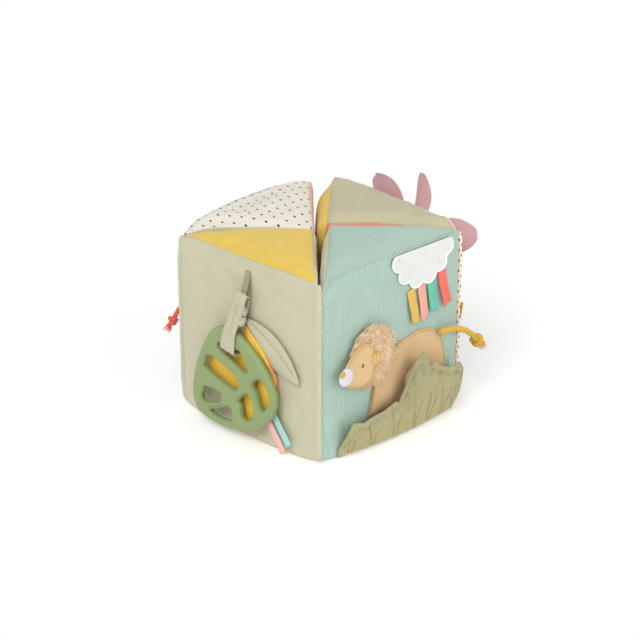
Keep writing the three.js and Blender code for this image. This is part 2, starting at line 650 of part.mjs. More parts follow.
function lionFace(group) {
  const face = faceOf(group);
  const cloud = cloudOutline();
  place(face, piece('cloud_patch', sheet(shape(cloud), CLOUD_THICK), cloth(FABRIC.white)), 0, 0, ON_FACE);
  cloudRibbons(face, cloud);

  // the legs end where the leaning grass clears them
  const grassOut = OUTER_CROWN * 0.3;
  const foot = GRASS_BASE + (ON_FACE + LION_THICK + SEAM_GAP - grassOut) / Math.tan(rad(GRASS_LEAN_DEG));
  const legs = LION_RUMP - LION_LENGTH;
  const body = shape([[legs, foot], ...scaled([
    [-0.96, 0.44], [-0.92, 0.64], [-0.82, 0.81], [-0.65, 0.93], [-0.51, 0.975], [-0.36, 1],
    [-0.23, 0.98], [-0.12, 0.93], [-0.05, 0.81], [-0.01, 0.62], [0, 0.44],
  ], LION_LENGTH, LION_BACK, LION_RUMP), [LION_RUMP, foot]]);
  place(face, piece('lion_body_patch', sheet(body, LION_THICK), cloth(FABRIC.tan)), 0, 0, ON_FACE);
  const maneOut = ON_FACE + LION_THICK + SEAM_GAP;
  const curls = Array.from({ length: MANE_CURLS * 4 }, (_, i) => {
    const angle = (2 * Math.PI * i) / (MANE_CURLS * 4);
    const radius = MANE_RADIUS + MANE_CURL * Math.cos(angle * MANE_CURLS);
    return [radius * Math.cos(angle), radius * 1.08 * Math.sin(angle)];
  });
  place(face, piece('lion_mane', sheet(shape(curls), MANE_THICK), cloth(FABRIC.plush)),
    MANE_X, MANE_Z, maneOut);
  const faceOut = maneOut + MANE_THICK + SEAM_GAP;
  const profile = smooth(scaled([
    [-0.09, 0.32], [-0.45, 0.41], [-0.76, 0.21], [-1, -0.12], [-0.91, -0.44], [-0.45, -0.59],
    [-0.12, -0.47], [-0.03, -0.09],
  ], FACE_WIDTH, FACE_HEIGHT), 24);
  place(face, piece('lion_face_patch', sheet(shape(profile), FACE_THICK), cloth(FABRIC.tan)),
    MANE_X, MANE_Z, faceOut);
  const muzzle = new THREE.CylinderGeometry(MUZZLE_RADIUS, MUZZLE_RADIUS, MUZZLE_THICK, ROUND_SIDES)
    .rotateX(Math.PI / 2).translate(0, 0, MUZZLE_THICK / 2);
  place(face, piece('lion_muzzle_patch', muzzle, cloth(FABRIC.white)),
    MANE_X - FACE_WIDTH + MUZZLE_RADIUS * 0.25, MANE_Z - FACE_HEIGHT * 0.18,
    faceOut + FACE_THICK + SEAM_GAP);

  const lean = new THREE.Group();
  lean.position.set(0, GRASS_BASE, grassOut);
  lean.rotation.x = rad(GRASS_LEAN_DEG);
  face.add(lean);
  const grass = shape(scaled([
    [0, 0], [0.976, 0], [1, 0.33], [0.99, 0.64], [0.86, 0.7], [0.81, 0.77], [0.75, 0.73], [0.69, 0.8],
    [0.645, 1], [0.61, 0.95], [0.51, 0.67], [0.46, 0.5], [0.4, 0.58], [0.32, 0.47], [0.21, 0.38],
    [0.15, 0.3], [0.12, 0.39], [0.055, 0.45], [0.024, 0.36], [-0.008, 0.12],
  ], GRASS_WIDTH, GRASS_PEAK, GRASS_LEFT));
  lean.add(piece('grass_flap', sheet(grass, GRASS_THICK), cloth(FABRIC.grass)));

  const tailOut = ON_FACE + LION_THICK + SEAM_GAP + LION_CORD / 2;
  cordTail(face, 'lion', LION_TAIL_PATH.map(([along, up, out]) => [
    LION_RUMP - LION_TAIL_ROOT + along * LION_TAIL, LION_BACK * 0.92 + up * LION_TAIL,
    tailOut + out * LION_CORD]), LION_CORD, FABRIC.gold);
}

// Flower face

function flowerFace(group) {
  const face = faceOf(group);
  const button = new THREE.CylinderGeometry(BUTTON_RADIUS * 0.8, BUTTON_RADIUS, BUTTON_THICK, ROUND_SIDES)
    .rotateX(Math.PI / 2).translate(FLOWER_X, FLOWER_Z, BUTTON_THICK / 2);
  place(face, piece('flower_button', button, cloth(FABRIC.mustard)), 0, 0, ON_FACE);
  for (let i = 0; i < PETALS; i++) {
    const ray = new THREE.Group();
    ray.position.set(FLOWER_X, FLOWER_Z, ON_FACE);
    ray.rotation.z = -rad(FLOWER_TURN_DEG + (360 / PETALS) * i);
    const [long, wide, lift] = PETAL_SHARES[i % PETAL_SHARES.length];
    const outline = shape(leafOutline(PETAL_LENGTH * long, PETAL_WIDTH * wide, PETAL_BELLY));
    const petal = piece(`petal_${i + 1}`, sheet(outline, PETAL_THICK), cloth(FABRIC.mauve));
    petal.rotation.x = rad(PETAL_LIFT_DEG * lift);
    petal.position.y = BUTTON_RADIUS + PETAL_CLEAR;
    ray.add(petal);
    face.add(ray);
  }
  const stem = sheet(shape(leafOutline(STEM_LENGTH, STEM_WIDTH)), STEM_THICK);
  place(face, piece('stem_leaf', stem, cloth(FABRIC.gold)), STEM_X, STEM_Z, ON_FACE, -STEM_TURN_DEG);
}

// Elephant face

function elephantFace(group) {
  const face = faceOf(group);
  const body = shape(scaled([
    [-0.02, 0], [0, 0.52], [-0.08, 0.81], [-0.21, 0.95], [-0.39, 0.97], [-0.54, 0.95],
    [-0.68, 1], [-0.8, 0.92], [-0.88, 0.71], [-0.94, 0.44], [-1, 0.25], [-0.955, 0.18],
    [-0.88, 0.27], [-0.83, 0.44], [-0.77, 0.41], [-0.75, 0], [-0.59, 0], [-0.57, 0.25],
    [-0.3, 0.25], [-0.29, 0],
  ], ELEPHANT_LENGTH, ELEPHANT_HEIGHT, ELEPHANT_RUMP, ELEPHANT_FOOT));
  place(face, piece('elephant_patch', sheet(body, ELEPHANT_THICK), cloth(FABRIC.grey)), 0, 0, ON_FACE);
  const ear = sheet(shape(leafOutline(EAR_LENGTH, EAR_WIDTH)), EAR_THICK);
  place(face, piece('elephant_ear', ear, cloth(FABRIC.pink)),
    EAR_X, EAR_Z, ON_FACE + ELEPHANT_THICK + SEAM_GAP, 180);
  const tailOut = ON_FACE + ELEPHANT_THICK + SEAM_GAP + ELEPHANT_CORD / 2;
  cordTail(face, 'elephant', ELEPHANT_TAIL_PATH.map(([along, up, out]) => [
    ELEPHANT_RUMP - ELEPHANT_TAIL_ROOT + along * ELEPHANT_TAIL,
    ELEPHANT_FOOT + ELEPHANT_HEIGHT * 0.77 + up * ELEPHANT_TAIL,
    tailOut + out * ELEPHANT_CORD]), ELEPHANT_CORD, FABRIC.red);
}

// Cloth hinge: a folded strip along an upright edge of the cube
function clothHinge(name, x, y) {
  const radius = CORNER_INSET - SEAM_GAP;
  const strip = new THREE.CylinderGeometry(radius, radius, HEIGHT - 2 * SIDE_GAP, 12)
    .rotateX(Math.PI / 2).translate(x, y, HEIGHT / 2);
  return piece(name, strip, cloth(FABRIC.ecru));
}

// Sound makers stand upright in the stuffing; the pocket is open at its top
function soundMaker(name, radius, height, colour, round) {
  const y = -HALF + PANEL + SEAM_GAP + radius + SOUND_DEPTH;
  const bodyOf = (grow) => (round
    ? new THREE.CapsuleGeometry(radius + grow, height - 2 * radius, 4, ROUND_SIDES)
    : new THREE.CylinderGeometry(radius + grow, radius + grow, height + 2 * grow, ROUND_SIDES));
  const upright = (geometry) => geometry.rotateX(Math.PI / 2).translate(0, y, SOUND_Z);
  const shaft = new THREE.CylinderGeometry(radius + POCKET_GAP, radius + POCKET_GAP, HEIGHT, ROUND_SIDES)
    .rotateX(Math.PI / 2).translate(0, y, SOUND_Z + HEIGHT / 2);
  const pocket = toGeometry(toSolid(upright(bodyOf(POCKET_GAP))).add(toSolid(shaft)));
  return { pocket, mesh: piece(name, upright(bodyOf(0)), cloth(colour, 0.4)) };
}

const rattle = soundMaker('rattle_capsule', RATTLE_RADIUS, RATTLE_LENGTH, FABRIC.white, true);
const squeaker = soundMaker('squeaker', SQUEAKER_RADIUS, SQUEAKER_HEIGHT, FABRIC.white, false);

const lionWedge = wedge('lion_wedge', {
  outer: FABRIC.aqua, left_panel: FABRIC.sage, right_panel: FABRIC.peach,
  top: FABRIC.aqua, bottom: FABRIC.aqua,
}, rattle.pocket);
lionWedge.add(rattle.mesh);
lionFace(lionWedge);

const leafWedge = wedge('leaf_wedge', {
  outer: FABRIC.sage, left_panel: FABRIC.aqua, right_panel: FABRIC.ecru,
  top: FABRIC.mustard, bottom: FABRIC.mustard,
});
leafFace(leafWedge);
leafWedge.rotation.z = -Math.PI / 2;

const flowerWedge = wedge('flower_wedge', {
  outer: FABRIC.ecru, left_panel: FABRIC.coral, right_panel: FABRIC.mustard,
  top: FABRIC.topSage, bottom: FABRIC.topSage,
});
flowerFace(flowerWedge);
flowerWedge.rotation.z = Math.PI / 2;

const elephantWedge = wedge('elephant_wedge', {
  outer: FABRIC.aqua, left_panel: FABRIC.peach, right_panel: FABRIC.sage,
  top: FABRIC.ecru, bottom: FABRIC.ecru,
}, squeaker.pocket);
elephantWedge.add(squeaker.mesh);
elephantFace(elephantWedge);
elephantWedge.rotation.z = Math.PI;

// The left pair turns about the front edge of the cube
const leftPair = new THREE.Group();
leftPair.add(leafWedge, elephantWedge, clothHinge('left_hinge_strip', -HALF, HALF));
for (const part of leftPair.children) part.position.add(new THREE.Vector3(HALF, HALF, 0));
leftPair.position.set(-HALF, -HALF, 0);
leftPair.rotation.z = rad(REST_OPEN_DEG);

const cube = new THREE.Group();
cube.name = 'folding_activity_cube';
cube.add(lionWedge, flowerWedge, leftPair,
  clothHinge('front_hinge_strip', -HALF, -HALF), clothHinge('right_hinge_strip', HALF, -HALF));

export default cube;
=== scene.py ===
"""Folding activity cube: four stuffed cloth wedges on cloth hinges, with animals, leaves and a teether.

Every piece is drawn in millimetres in its own face's frame: x to the right, y up from the floor and
z out from the seam plane. place() turns the drawing to metres in the row frame.
"""

import math
import random

import bmesh
import bpy
import numpy as np
from mathutils import Matrix, Vector, noise


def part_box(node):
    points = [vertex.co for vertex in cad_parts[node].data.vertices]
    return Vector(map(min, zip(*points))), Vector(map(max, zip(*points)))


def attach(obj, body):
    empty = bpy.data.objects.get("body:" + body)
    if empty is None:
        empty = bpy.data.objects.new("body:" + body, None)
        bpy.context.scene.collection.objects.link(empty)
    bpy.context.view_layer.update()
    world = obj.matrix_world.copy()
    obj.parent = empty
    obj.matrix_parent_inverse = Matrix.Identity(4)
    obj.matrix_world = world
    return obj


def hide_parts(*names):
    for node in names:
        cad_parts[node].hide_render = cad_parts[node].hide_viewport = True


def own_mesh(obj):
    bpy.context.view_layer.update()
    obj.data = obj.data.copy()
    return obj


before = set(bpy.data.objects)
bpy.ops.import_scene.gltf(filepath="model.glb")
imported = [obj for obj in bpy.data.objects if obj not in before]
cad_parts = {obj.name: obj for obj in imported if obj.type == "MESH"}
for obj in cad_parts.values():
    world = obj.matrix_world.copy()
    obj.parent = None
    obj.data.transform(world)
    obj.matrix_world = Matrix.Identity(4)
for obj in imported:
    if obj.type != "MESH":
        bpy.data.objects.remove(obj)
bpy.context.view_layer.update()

bl_info = {
    "name": "Folding activity cube",
    "version": (1, 0, 0),
    "blender": (4, 5, 0),
    "location": "View3D > Sidebar > Activity cube",
    "description": "Cloth, ribbon, cord and silicone pieces of a folding activity cube",
    "category": "Object",
}

MM = 0.001
CLOTH_UV = "Cloth"

HALF = 75.0
HEIGHT = 150.0
TIP = -1.84  # where a wedge's two inner faces meet, from the cube's middle
REACH = 72.7  # half of a wedge's outer face
SLOPE = Vector((HALF + TIP, REACH, 0)).normalized()  # an inner face's normal, mirrored for the left one
LEFT_IN, RIGHT_IN = Vector((SLOPE.x, -SLOPE.y, 0)), Vector((-SLOPE.x, -SLOPE.y, 0))  # from it inwards
SKIN = 2.3  # how far an outer face stands out from its seam plane
PANELS = ("outer", "left", "right", "top", "bottom")
OUTER, LEFT, RIGHT, TOP, BOTTOM = range(5)


# Frames of the four faces


def turned(degrees, axis="Z"):
    return Matrix.Rotation(math.radians(degrees), 4, axis)


def wedge_frame(wedge, sizes):
    """A wedge's frame in the row frame, in millimetres."""
    corner = Matrix.Translation((-HALF, -HALF, 0))
    opened = corner @ turned(sizes.rest_open) @ corner.inverted()
    return {
        "lion": Matrix.Identity(4),
        "leaf": opened @ turned(-90),
        "flower": turned(90),
        "elephant": opened @ turned(180),
    }[wedge]


def face_frame(wedge, sizes):
    """The frame of a wedge's outer face: x to the right, y up, z out."""
    return wedge_frame(wedge, sizes) @ Matrix.Translation((0, -HALF, 0)) @ turned(90, "X")


# Small maths


def within(value):
    """The value, kept from 0 to 1."""
    return min(1.0, max(0.0, value))


def near(distance, reach, power=2):
    """1 at a place, falling to 0 at the reach from it."""
    return max(0.0, 1 - distance / reach) ** power


def bell(distance, width):
    """1 at a place, falling away smoothly to both sides of it."""
    return math.exp(-(distance / width) ** 2)


def filling(distance, reach):
    """0 at an edge, nearing 1 with the distance from it."""
    return 1 - math.exp(-distance / reach)


def ripple(x, y, z):
    """Smooth noise from about -1 to 1, for waves and folds."""
    return noise.noise(Vector((x, y, z)))


# Materials: shader maths written as Python expressions


def maths(operation, other_first=False):
    """A method of Value that adds one Math node."""

    def method(self, *others):
        values = (*others, self) if other_first else (self, *others)
        return self.look.node("ShaderNodeMath", {"operation": operation}, dict(enumerate(values)))

    return method


class Value:
    """A shader socket that takes part in expressions; each operation adds a node."""

    def __init__(self, look, socket):
        self.look, self.socket = look, socket

    __add__ = __radd__ = maths("ADD")
    __mul__ = __rmul__ = maths("MULTIPLY")
    __sub__ = maths("SUBTRACT")
    __rsub__ = maths("SUBTRACT", other_first=True)
    __truediv__ = maths("DIVIDE")
    sin = maths("SINE")
    floor = maths("FLOOR")
    fract = maths("FRACT")

    def fade(self, start, end):
        """0 before start, 1 after end, smooth between them."""
        values = {"Value": self, "From Min": start, "From Max": end}
        return self.look.node("ShaderNodeMapRange", {"interpolation_type": "SMOOTHSTEP"}, values)


class Look:
    """A procedural material or background being made."""

    def __init__(self, name, owner=None, output="ShaderNodeOutputMaterial"):
        self.owner = owner or bpy.data.materials.new(name)
        self.owner.use_nodes = True
        self.tree = self.owner.node_tree
        self.tree.nodes.clear()
        self.output = self.tree.nodes.new(output)

    def node(self, kind, settings=None, values=None, result=0):
        """A new node: its settings first, then its values or links. Returns one output as a Value."""
        made = self.tree.nodes.new(kind)
        for key, value in (settings or {}).items():
            setattr(made, key, value)
        for key, value in (values or {}).items():
            socket = made.inputs[key]
            if isinstance(value, Value):
                self.tree.links.new(value.socket, socket)
            else:
                socket.default_value = value
        return Value(self, made.outputs[result])

    def end(self, shader):
        self.tree.links.new(shader.socket, self.output.inputs["Surface"])
        return self.owner

    def vector(self, operation, values, result=0):
        return self.node("ShaderNodeVectorMath", {"operation": operation}, values, result)

    def stretch(self, vector, factors):
        return self.vector("MULTIPLY", {0: vector, 1: factors})

    def place_mm(self):
        """The place on the object in millimetres."""
        place = self.node("ShaderNodeTexCoord", result="Object")
        return self.vector("SCALE", {0: place, "Scale": 1 / MM})

    def cloth_uv(self):
        """The cloth's own coordinates in millimetres: both, along the weft, and along the warp."""
        uv = self.node("ShaderNodeUVMap", {"uv_map": CLOTH_UV})
        both = self.vector("SCALE", {0: uv, "Scale": 1 / MM})
        return both, *(self.node("ShaderNodeSeparateXYZ", values={0: both}, result=axis) for axis in "XY")

    def noise(self, vector, scale, detail=2.0, roughness=0.5):
        values = {"Vector": vector, "Scale": scale, "Detail": detail, "Roughness": roughness}
        return self.node("ShaderNodeTexNoise", {"noise_dimensions": "3D"}, values)

    def mix(self, factor, first, second, blend="MIX"):
        """A colour between two others; the colours are links or three linear values."""
        values = {0: factor, 6: self._colour(first), 7: self._colour(second)}
        return self.node("ShaderNodeMix", {"data_type": "RGBA", "blend_type": blend}, values, 2)

    def toned(self, colour, tone):
        """A colour made lighter where the tone is above 1 and darker where it is below."""
        grey = self.node("ShaderNodeCombineColor", values={0: tone, 1: tone, 2: tone})
        return self.mix(1.0, colour, grey, "MULTIPLY")

    @staticmethod
    def _colour(value):
        return value if isinstance(value, Value) else (*tuple(value)[:3], 1.0)

    def surface(self, colour, height, roughness=0.9, **constants):
        """Ends the material with a Principled shader. Height is in millimetres."""
        bump = self.node("ShaderNodeBump", values={"Height": height, "Distance": MM, "Strength": 1.0})
        values = {"Base Color": self._colour(colour), "Roughness": roughness, **constants, "Normal": bump}
        return self.end(self.node("ShaderNodeBsdfPrincipled", values=values))


def sheen(weight, roughness=0.5):
    return {"Sheen Weight": weight, "Sheen Roughness": roughness}


def linear(colour):
    """A colour written as 0xRRGGBB, in linear values."""
    parts = [(colour >> shift & 255) / 255 for shift in (16, 8, 0)]
    return tuple(p / 12.92 if p <= 0.04045 else ((p + 0.055) / 1.055) ** 2.4 for p in parts)


def shade(colour, factor):
    return tuple(min(1.0, part * factor) for part in tuple(colour)[:3])


def woven(name, colour, crease=0.5, streak=0.0, slub=0.05, dots=None):
    """Plain woven cotton: crossing threads, uneven slubs, soft creases and faint colour changes."""
    look = Look(name)
    cloth, across, along = look.cloth_uv()
    thread_pitch = 0.9
    turns = 2 * math.pi / thread_pitch
    threads = (across * turns).sin() * (along * turns).sin()
    weft = look.noise(look.stretch(cloth, (0.06, 1.1, 1.0)), 1.0)
    warp = look.noise(look.stretch(cloth, (1.1, 0.06, 1.0)), 1.0)
    worn = look.noise(cloth, 0.045, 3.0)
    folds = look.noise(cloth, 0.07, 3.0, 0.55)
    height = threads * 0.035 + (weft + warp) * slub + folds * crease * 2.4
    tone = (weft + warp) * 0.10 + threads * 0.02 + worn * 0.16 + 0.82
    if streak:
        lines = look.noise(look.stretch(cloth, (0.6, 0.03, 1.0)), 1.0, 3.0, 0.6)
        height = height + lines * streak
        tone = tone + (lines - 0.5) * 0.26
    base = look.toned(colour, tone)
    if dots:
        pitch, width, tall, ink = dots
        row = along / pitch
        shift = (row.floor() * 0.5).fract()
        beside = ((across / pitch + shift).fract() - 0.5) * (pitch / width)
        above = (row.fract() - 0.5) * (pitch / tall)
        inside = 1.0 - (beside * beside + above * above).fade(0.75, 1.25)
        base = look.mix(inside, base, ink)
    return look.surface(base, height, 0.92, **sheen(0.25, 0.4))


def felt(name, colour, fuzz=0.5):
    """Felt or brushed cloth: matted short fibres with no threads."""
    look = Look(name)
    place = look.place_mm()
    fibres = look.noise(place, 1.3, 4.0, 0.65)
    clouds = look.noise(place, 0.09, 3.0)
    base = look.toned(colour, fibres * 0.22 + clouds * 0.12 + 0.83)
    return look.surface(base, fibres * fuzz + clouds * 0.6, 0.95, **sheen(0.5, 0.35))


def plush(name, colour):
    """Tufted plush: short matted curls, lighter at their tips."""
    look = Look(name)
    place = look.place_mm()
    fibres = look.noise(place, 1.1, 4.0, 0.7)
    patches = look.noise(place, 0.12, 2.0)
    base = look.toned(colour, fibres * 0.26 + patches * 0.2 + 0.8)
    return look.surface(base, fibres * 0.5, 0.95, **sheen(0.6, 0.3))


def satin(name, colour):
    """Satin ribbon: fine cross ribs and a soft shine."""
    look = Look(name)
    cloth, _, along = look.cloth_uv()
    rib_pitch = 0.8
    ribs = (along * (2 * math.pi / rib_pitch)).sin()
    waves = look.noise(look.stretch(cloth, (0.1, 0.3, 1.0)), 1.0)
    base = look.toned(colour, ribs * 0.04 + waves * 0.16 + 0.9)
    return look.surface(base, ribs * 0.03 + waves * 0.3, 0.48, **sheen(0.2))


def moulded(name, colour, roughness):
    """Moulded silicone or plastic: fine surface grain and handling marks."""
    look = Look(name)
    place = look.place_mm()
    grain = look.noise(place, 2.2, 3.0)
    clouds = look.noise(place, 0.06, 3.0)
    base = look.toned(colour, grain * 0.05 + clouds * 0.12 + 0.92)
    return look.surface(base, grain * 0.03 + clouds * 0.2, (clouds - 0.5) * 0.2 + roughness)


def twisted(name, colour):
    """Cord: fine fibres that run with the strands, and uneven dye."""
    look = Look(name)
    fibres = look.noise(look.stretch(look.cloth_uv()[0], (2.2, 0.5, 1.0)), 1.0, 3.0)
    return look.surface(look.toned(colour, fibres * 0.4 + 0.8), fibres * 0.25, 0.85, **sheen(0.3))


def thread(name, colour):
    """Embroidery thread: a slight shine and uneven dye."""
    look = Look(name)
    fibres = look.noise(look.place_mm(), 1.6, 2.0)
    return look.surface(look.toned(colour, fibres * 0.3 + 0.85), fibres * 0.1, 0.6, **sheen(0.2))


# Sizes and colours that a user of the add-on can change


def dye(name, text, colour):
    return bpy.props.FloatVectorProperty(
        name=name, description=text, default=linear(colour), subtype="COLOR", size=3, min=0.0, max=1.0)


def length(name, text, value):
    return bpy.props.FloatProperty(
        name=name, description=text, default=value * MM, min=0.0, max=0.2,
        subtype="DISTANCE", unit="LENGTH", precision=5)


class CubeSizes(bpy.types.PropertyGroup):
    """Sizes of the soft pieces, in metres and degrees."""

    rest_open: bpy.props.FloatProperty(
        name="Rest opening", description="How far the left pair of wedges stands open", default=3.4,
        min=0.0, max=10.0)
    outer_crown: length("Outer crown", "How far the outer faces swell", 2.0)
    inner_crown: length("Inner crown", "How far the inner faces swell", 0.9)
    top_crown: length("Top crown", "How far the tops swell", 4.2)
    cover: length("Cover cloth", "Thickness of the cover cloth", 0.8)
    grid: length("Cover grid", "Size of the squares that the cover is cut into", 4.04)
    lion_cord: length("Lion's tail cord", "Thickness of the lion's tail", 5.0)
    elephant_cord: length("Elephant's tail cord", "Thickness of the elephant's tail", 4.2)


class CubeColours(bpy.types.PropertyGroup):
    """Colours of the cloths, ribbons, threads and the teether."""

    sage: dye("Sage", "Leaf face and strap", 0xC9C5A9)
    top_sage: dye("Top sage", "Flower wedge's top", 0xBFB998)
    aqua: dye("Aqua", "Lion face and its top", 0xA9C3B5)
    mustard: dye("Mustard", "Leaf wedge's top", 0xE3C255)
    # The crinkle leaf's colour is partly its own orange mustard and partly painted light: it is brighter than
    # the cloth to make up for the shade that the teether casts on it.
    crinkle: dye("Crinkle leaf", "Crinkling leaf", 0xFFCE4A)
    ecru: dye("Ecru", "Dotted cloth", 0xE6E0D2)
    ink: dye("Ink", "Dots on the ecru cloth and the eyes", 0x3A3835)
    coral: dye("Coral", "Flower wedge's inner face", 0xE58B76)
    peach: dye("Peach", "Inner faces", 0xE9BFAE)
    olive: dye("Olive", "Hanging loop", 0xA8A17C)
    mauve: dye("Mauve", "Petals", 0xCFA2A6)
    tan: dye("Tan", "Lion's body and face", 0xD4B384)
    plush: dye("Plush", "Lion's mane", 0xE7C9A4)
    grass: dye("Grass", "Grass flap", 0xABA57B)
    white: dye("White", "Cloud and muzzle", 0xF1F1EE)
    foam: dye("Filling", "Stuffing", 0xF4F2EA)
    red: dye("Red", "Elephant's tail", 0xF06450)
    ribbon_gold: dye("Gold ribbon", "First cloud ribbon", 0xDCB44B)
    ribbon_coral: dye("Coral ribbon", "Second cloud ribbon", 0xF0A591)
    teal: dye("Teal", "Third cloud ribbon", 0x5ABEA0)
    pink: dye("Pink", "Pink tag and the elephant's ear", 0xFABEB4)
    sky: dye("Sky", "Aqua tag", 0xA5DCD7)
    gold: dye("Gold", "Lion's tail and the stitching", 0xD9AC2C)
    grey: dye("Grey", "Elephant", 0x9FB4B0)
    teether: dye("Teether", "Silicone leaf", 0x8D9F6A)


# Building blocks


def place(name, bm, to_row, material, body, slot=None, node=None):
    """Makes a finished piece of a drawing in millimetres and lets it ride on its body.

    A piece with a slot stands for the CAD node of its own name, or for the one given.
    """
    bmesh.ops.transform(bm, matrix=Matrix.Scale(MM, 4) @ to_row, verts=bm.verts)
    bmesh.ops.recalc_face_normals(bm, faces=bm.faces)
    for face in bm.faces:
        face.smooth = True
    mesh = bpy.data.meshes.new(name)
    bm.to_mesh(mesh)
    bm.free()
    mesh.materials.append(material)
    piece = bpy.data.objects.new(name, mesh)
    bpy.context.scene.collection.objects.link(piece)
    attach(piece, body)
    if slot:
        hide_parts(node or name)
    return piece


def subdivided(piece, levels=1):
    """A smoother piece, with its outer corners kept."""
    modifier = piece.modifiers.new("Smooth", "SUBSURF")
    modifier.levels = modifier.render_levels = levels
    modifier.boundary_smooth = "PRESERVE_CORNERS"
    return piece


def set_uv(bm, faces=None, at=None):
    """Gives faces the cloth's coordinates, from each vertex's x and y unless at says otherwise."""
    layer = bm.loops.layers.uv.get(CLOTH_UV) or bm.loops.layers.uv.new(CLOTH_UV)
    for face in faces or bm.faces:
        for loop in face.loops:
            where = at(loop.vert) if at else loop.vert.co
            loop[layer].uv = (where[0] * MM, where[1] * MM)


def faces_in(items):
    return [item for item in items if isinstance(item, bmesh.types.BMFace) and item.is_valid]


def verts_in(items):
    return [item for item in items if isinstance(item, bmesh.types.BMVert)]


def cut_lines(bm, faces, step, normal):
    """Cuts faces along evenly spaced lines across the direction normal."""
    normal = Vector(normal)
    reach = [v.co.dot(normal) for face in faces for v in face.verts]
    at = math.floor(min(reach) / step + 1) * step
    while at < max(reach):
        parts = {part for face in faces for part in (*face.edges, *face.verts)}
        made = bmesh.ops.bisect_plane(
            bm, geom=[*faces, *parts], dist=0.01, plane_co=normal * at, plane_no=normal)
        faces = list(set(faces_in([*faces, *made["geom"]])))
        at += step
    return faces


def outline_distance(loops):
    """A function that says how far a point is from the nearest of the closed outlines."""
    starts = np.array([p for loop in loops for p in loop], float)
    ends = np.array([p for loop in loops for p in (*loop[1:], loop[0])], float)
    sides = ends - starts
    squares = np.maximum((sides**2).sum(axis=1), 1e-12)

    def distance(x, y):
        away = np.array((x, y)) - starts
        share = np.clip((away * sides).sum(axis=1) / squares, 0, 1)
        return float(np.sqrt((((away - sides * share[:, None])) ** 2).sum(axis=1).min()))

    return distance


def cut_sheet(outline, step, holes=(), rings=(0.6,)):
    """A flat cut-out: an outline filled, inset along its edge and cut into small squares."""
    bm = bmesh.new()
    edges = []
    for loop in (outline, *holes):
        verts = [bm.verts.new((x, y, 0)) for x, y in loop]
        edges += [bm.edges.new((a, b)) for a, b in zip(verts, (*verts[1:], verts[0]))]
    if holes:
        bmesh.ops.triangle_fill(bm, edges=edges, use_beauty=True, normal=(0, 0, 1))
    else:
        bm.faces.new([edge.verts[0] for edge in edges])
    bmesh.ops.recalc_face_normals(bm, faces=bm.faces)
    if bm.faces[:][0].normal.z < 0:
        bmesh.ops.reverse_faces(bm, faces=bm.faces)
    faces = bm.faces[:]
    for width in rings:
        bmesh.ops.inset_region(bm, faces=faces, thickness=width, use_boundary=True, use_even_offset=True)
    for normal in ((1, 0, 0), (0, 1, 0)):
        faces = cut_lines(bm, faces, step, normal)
    return bm


def thicken(bm, top, bottom, distance):
    """Makes a closed soft piece of a flat one. top and bottom give heights from x, y and edge distance."""
    made = bmesh.ops.extrude_face_region(bm, geom=bm.faces[:], use_keep_orig=True)
    upper = {item for item in made["geom"] if isinstance(item, bmesh.types.BMVert)}
    for vert in bm.verts:
        x, y = vert.co.x, vert.co.y
        height = top if vert in upper else bottom
        vert.co.z = height(x, y, distance(x, y))
    return bm


def pad(thickness, edge, roll, wave, seed, base=SKIN):
    """Top and bottom heights of a padded cut-out: a rolled edge and slight waves."""

    def top(x, y, d):
        wavy = wave * ripple(x * 0.09, y * 0.09, seed) * min(1.0, d / 4)
        return base + edge + (thickness - edge) * filling(d, roll) + wavy

    return top, lambda x, y, d: base


def cloth_patch(outline, step, rings, top, bottom):
    """A soft cut-out with the cloth's coordinates, and the function of the distance from its edge."""
    distance = outline_distance([outline])
    bm = thicken(cut_sheet(outline, step, rings=rings), top, bottom, distance)
    set_uv(bm)
    return bm, distance


def catmull_rom(a, b, c, d, steps):
    """Points from b up to c on the curve through a, b, c and d."""
    for k in range(steps):
        t = k / steps
        yield 0.5 * (2 * b + (c - a) * t + (2 * a - 5 * b + 4 * c - d) * t * t
                     + (3 * b - a - 3 * c + d) * t * t * t)


def smooth_loop(points, steps=4):
    """A closed curve through the points."""
    at = [Vector(p) for p in points]
    turns = zip((at[-1], *at[:-1]), at, (*at[1:], at[0]), (*at[2:], *at[:2]))
    return [tuple(p) for four in turns for p in catmull_rom(*four, steps)]


def smooth_line(points, steps=8):
    """An open curve through the points."""
    at = [Vector(p) for p in points]
    at = [2 * at[0] - at[1], *at, 2 * at[-1] - at[-2]]
    made = [p for four in zip(at, at[1:], at[2:], at[3:]) for p in catmull_rom(*four, steps)]
    return [*made, Vector(points[-1])]


def evenly(points, count):
    """The line through the points as count + 1 evenly spaced points."""
    points = [Vector(p) for p in points]
    lengths = [0.0]
    for a, b in zip(points, points[1:]):
        lengths.append(lengths[-1] + (b - a).length)
    made, k = [], 0
    for i in range(count + 1):
        at = lengths[-1] * i / count
        while k < len(points) - 2 and lengths[k + 1] < at:
            k += 1
        span = max(lengths[k + 1] - lengths[k], 1e-9)
        made.append(points[k].lerp(points[k + 1], min(1.0, (at - lengths[k]) / span)))
    return made


def line_length(points):
    return sum((b - a).length for a, b in zip(points, points[1:]))


def turning_area(loop):
    """Twice the area inside a closed flat outline, above 0 where it runs anticlockwise."""
    return sum(a[0] * b[1] - b[0] * a[1] for a, b in zip(loop, (*loop[1:], loop[0])))


def inset_loop(loop, depth):
    """A closed outline moved inwards; it runs clockwise or anticlockwise."""
    side = 1 if turning_area(loop) > 0 else -1
    made = []
    for before, at, after in zip((loop[-1], *loop[:-1]), loop, (*loop[1:], loop[0])):
        along = (Vector(after[:2]) - Vector(before[:2])).normalized()
        made.append((at[0] - along.y * depth * side, at[1] + along.x * depth * side))
    return made


def evenly_flat(loop, count):
    """A closed flat outline as evenly spaced points."""
    return [(p.x, p.y) for p in evenly([(x, y, 0) for x, y in (*loop, loop[0])], count)]


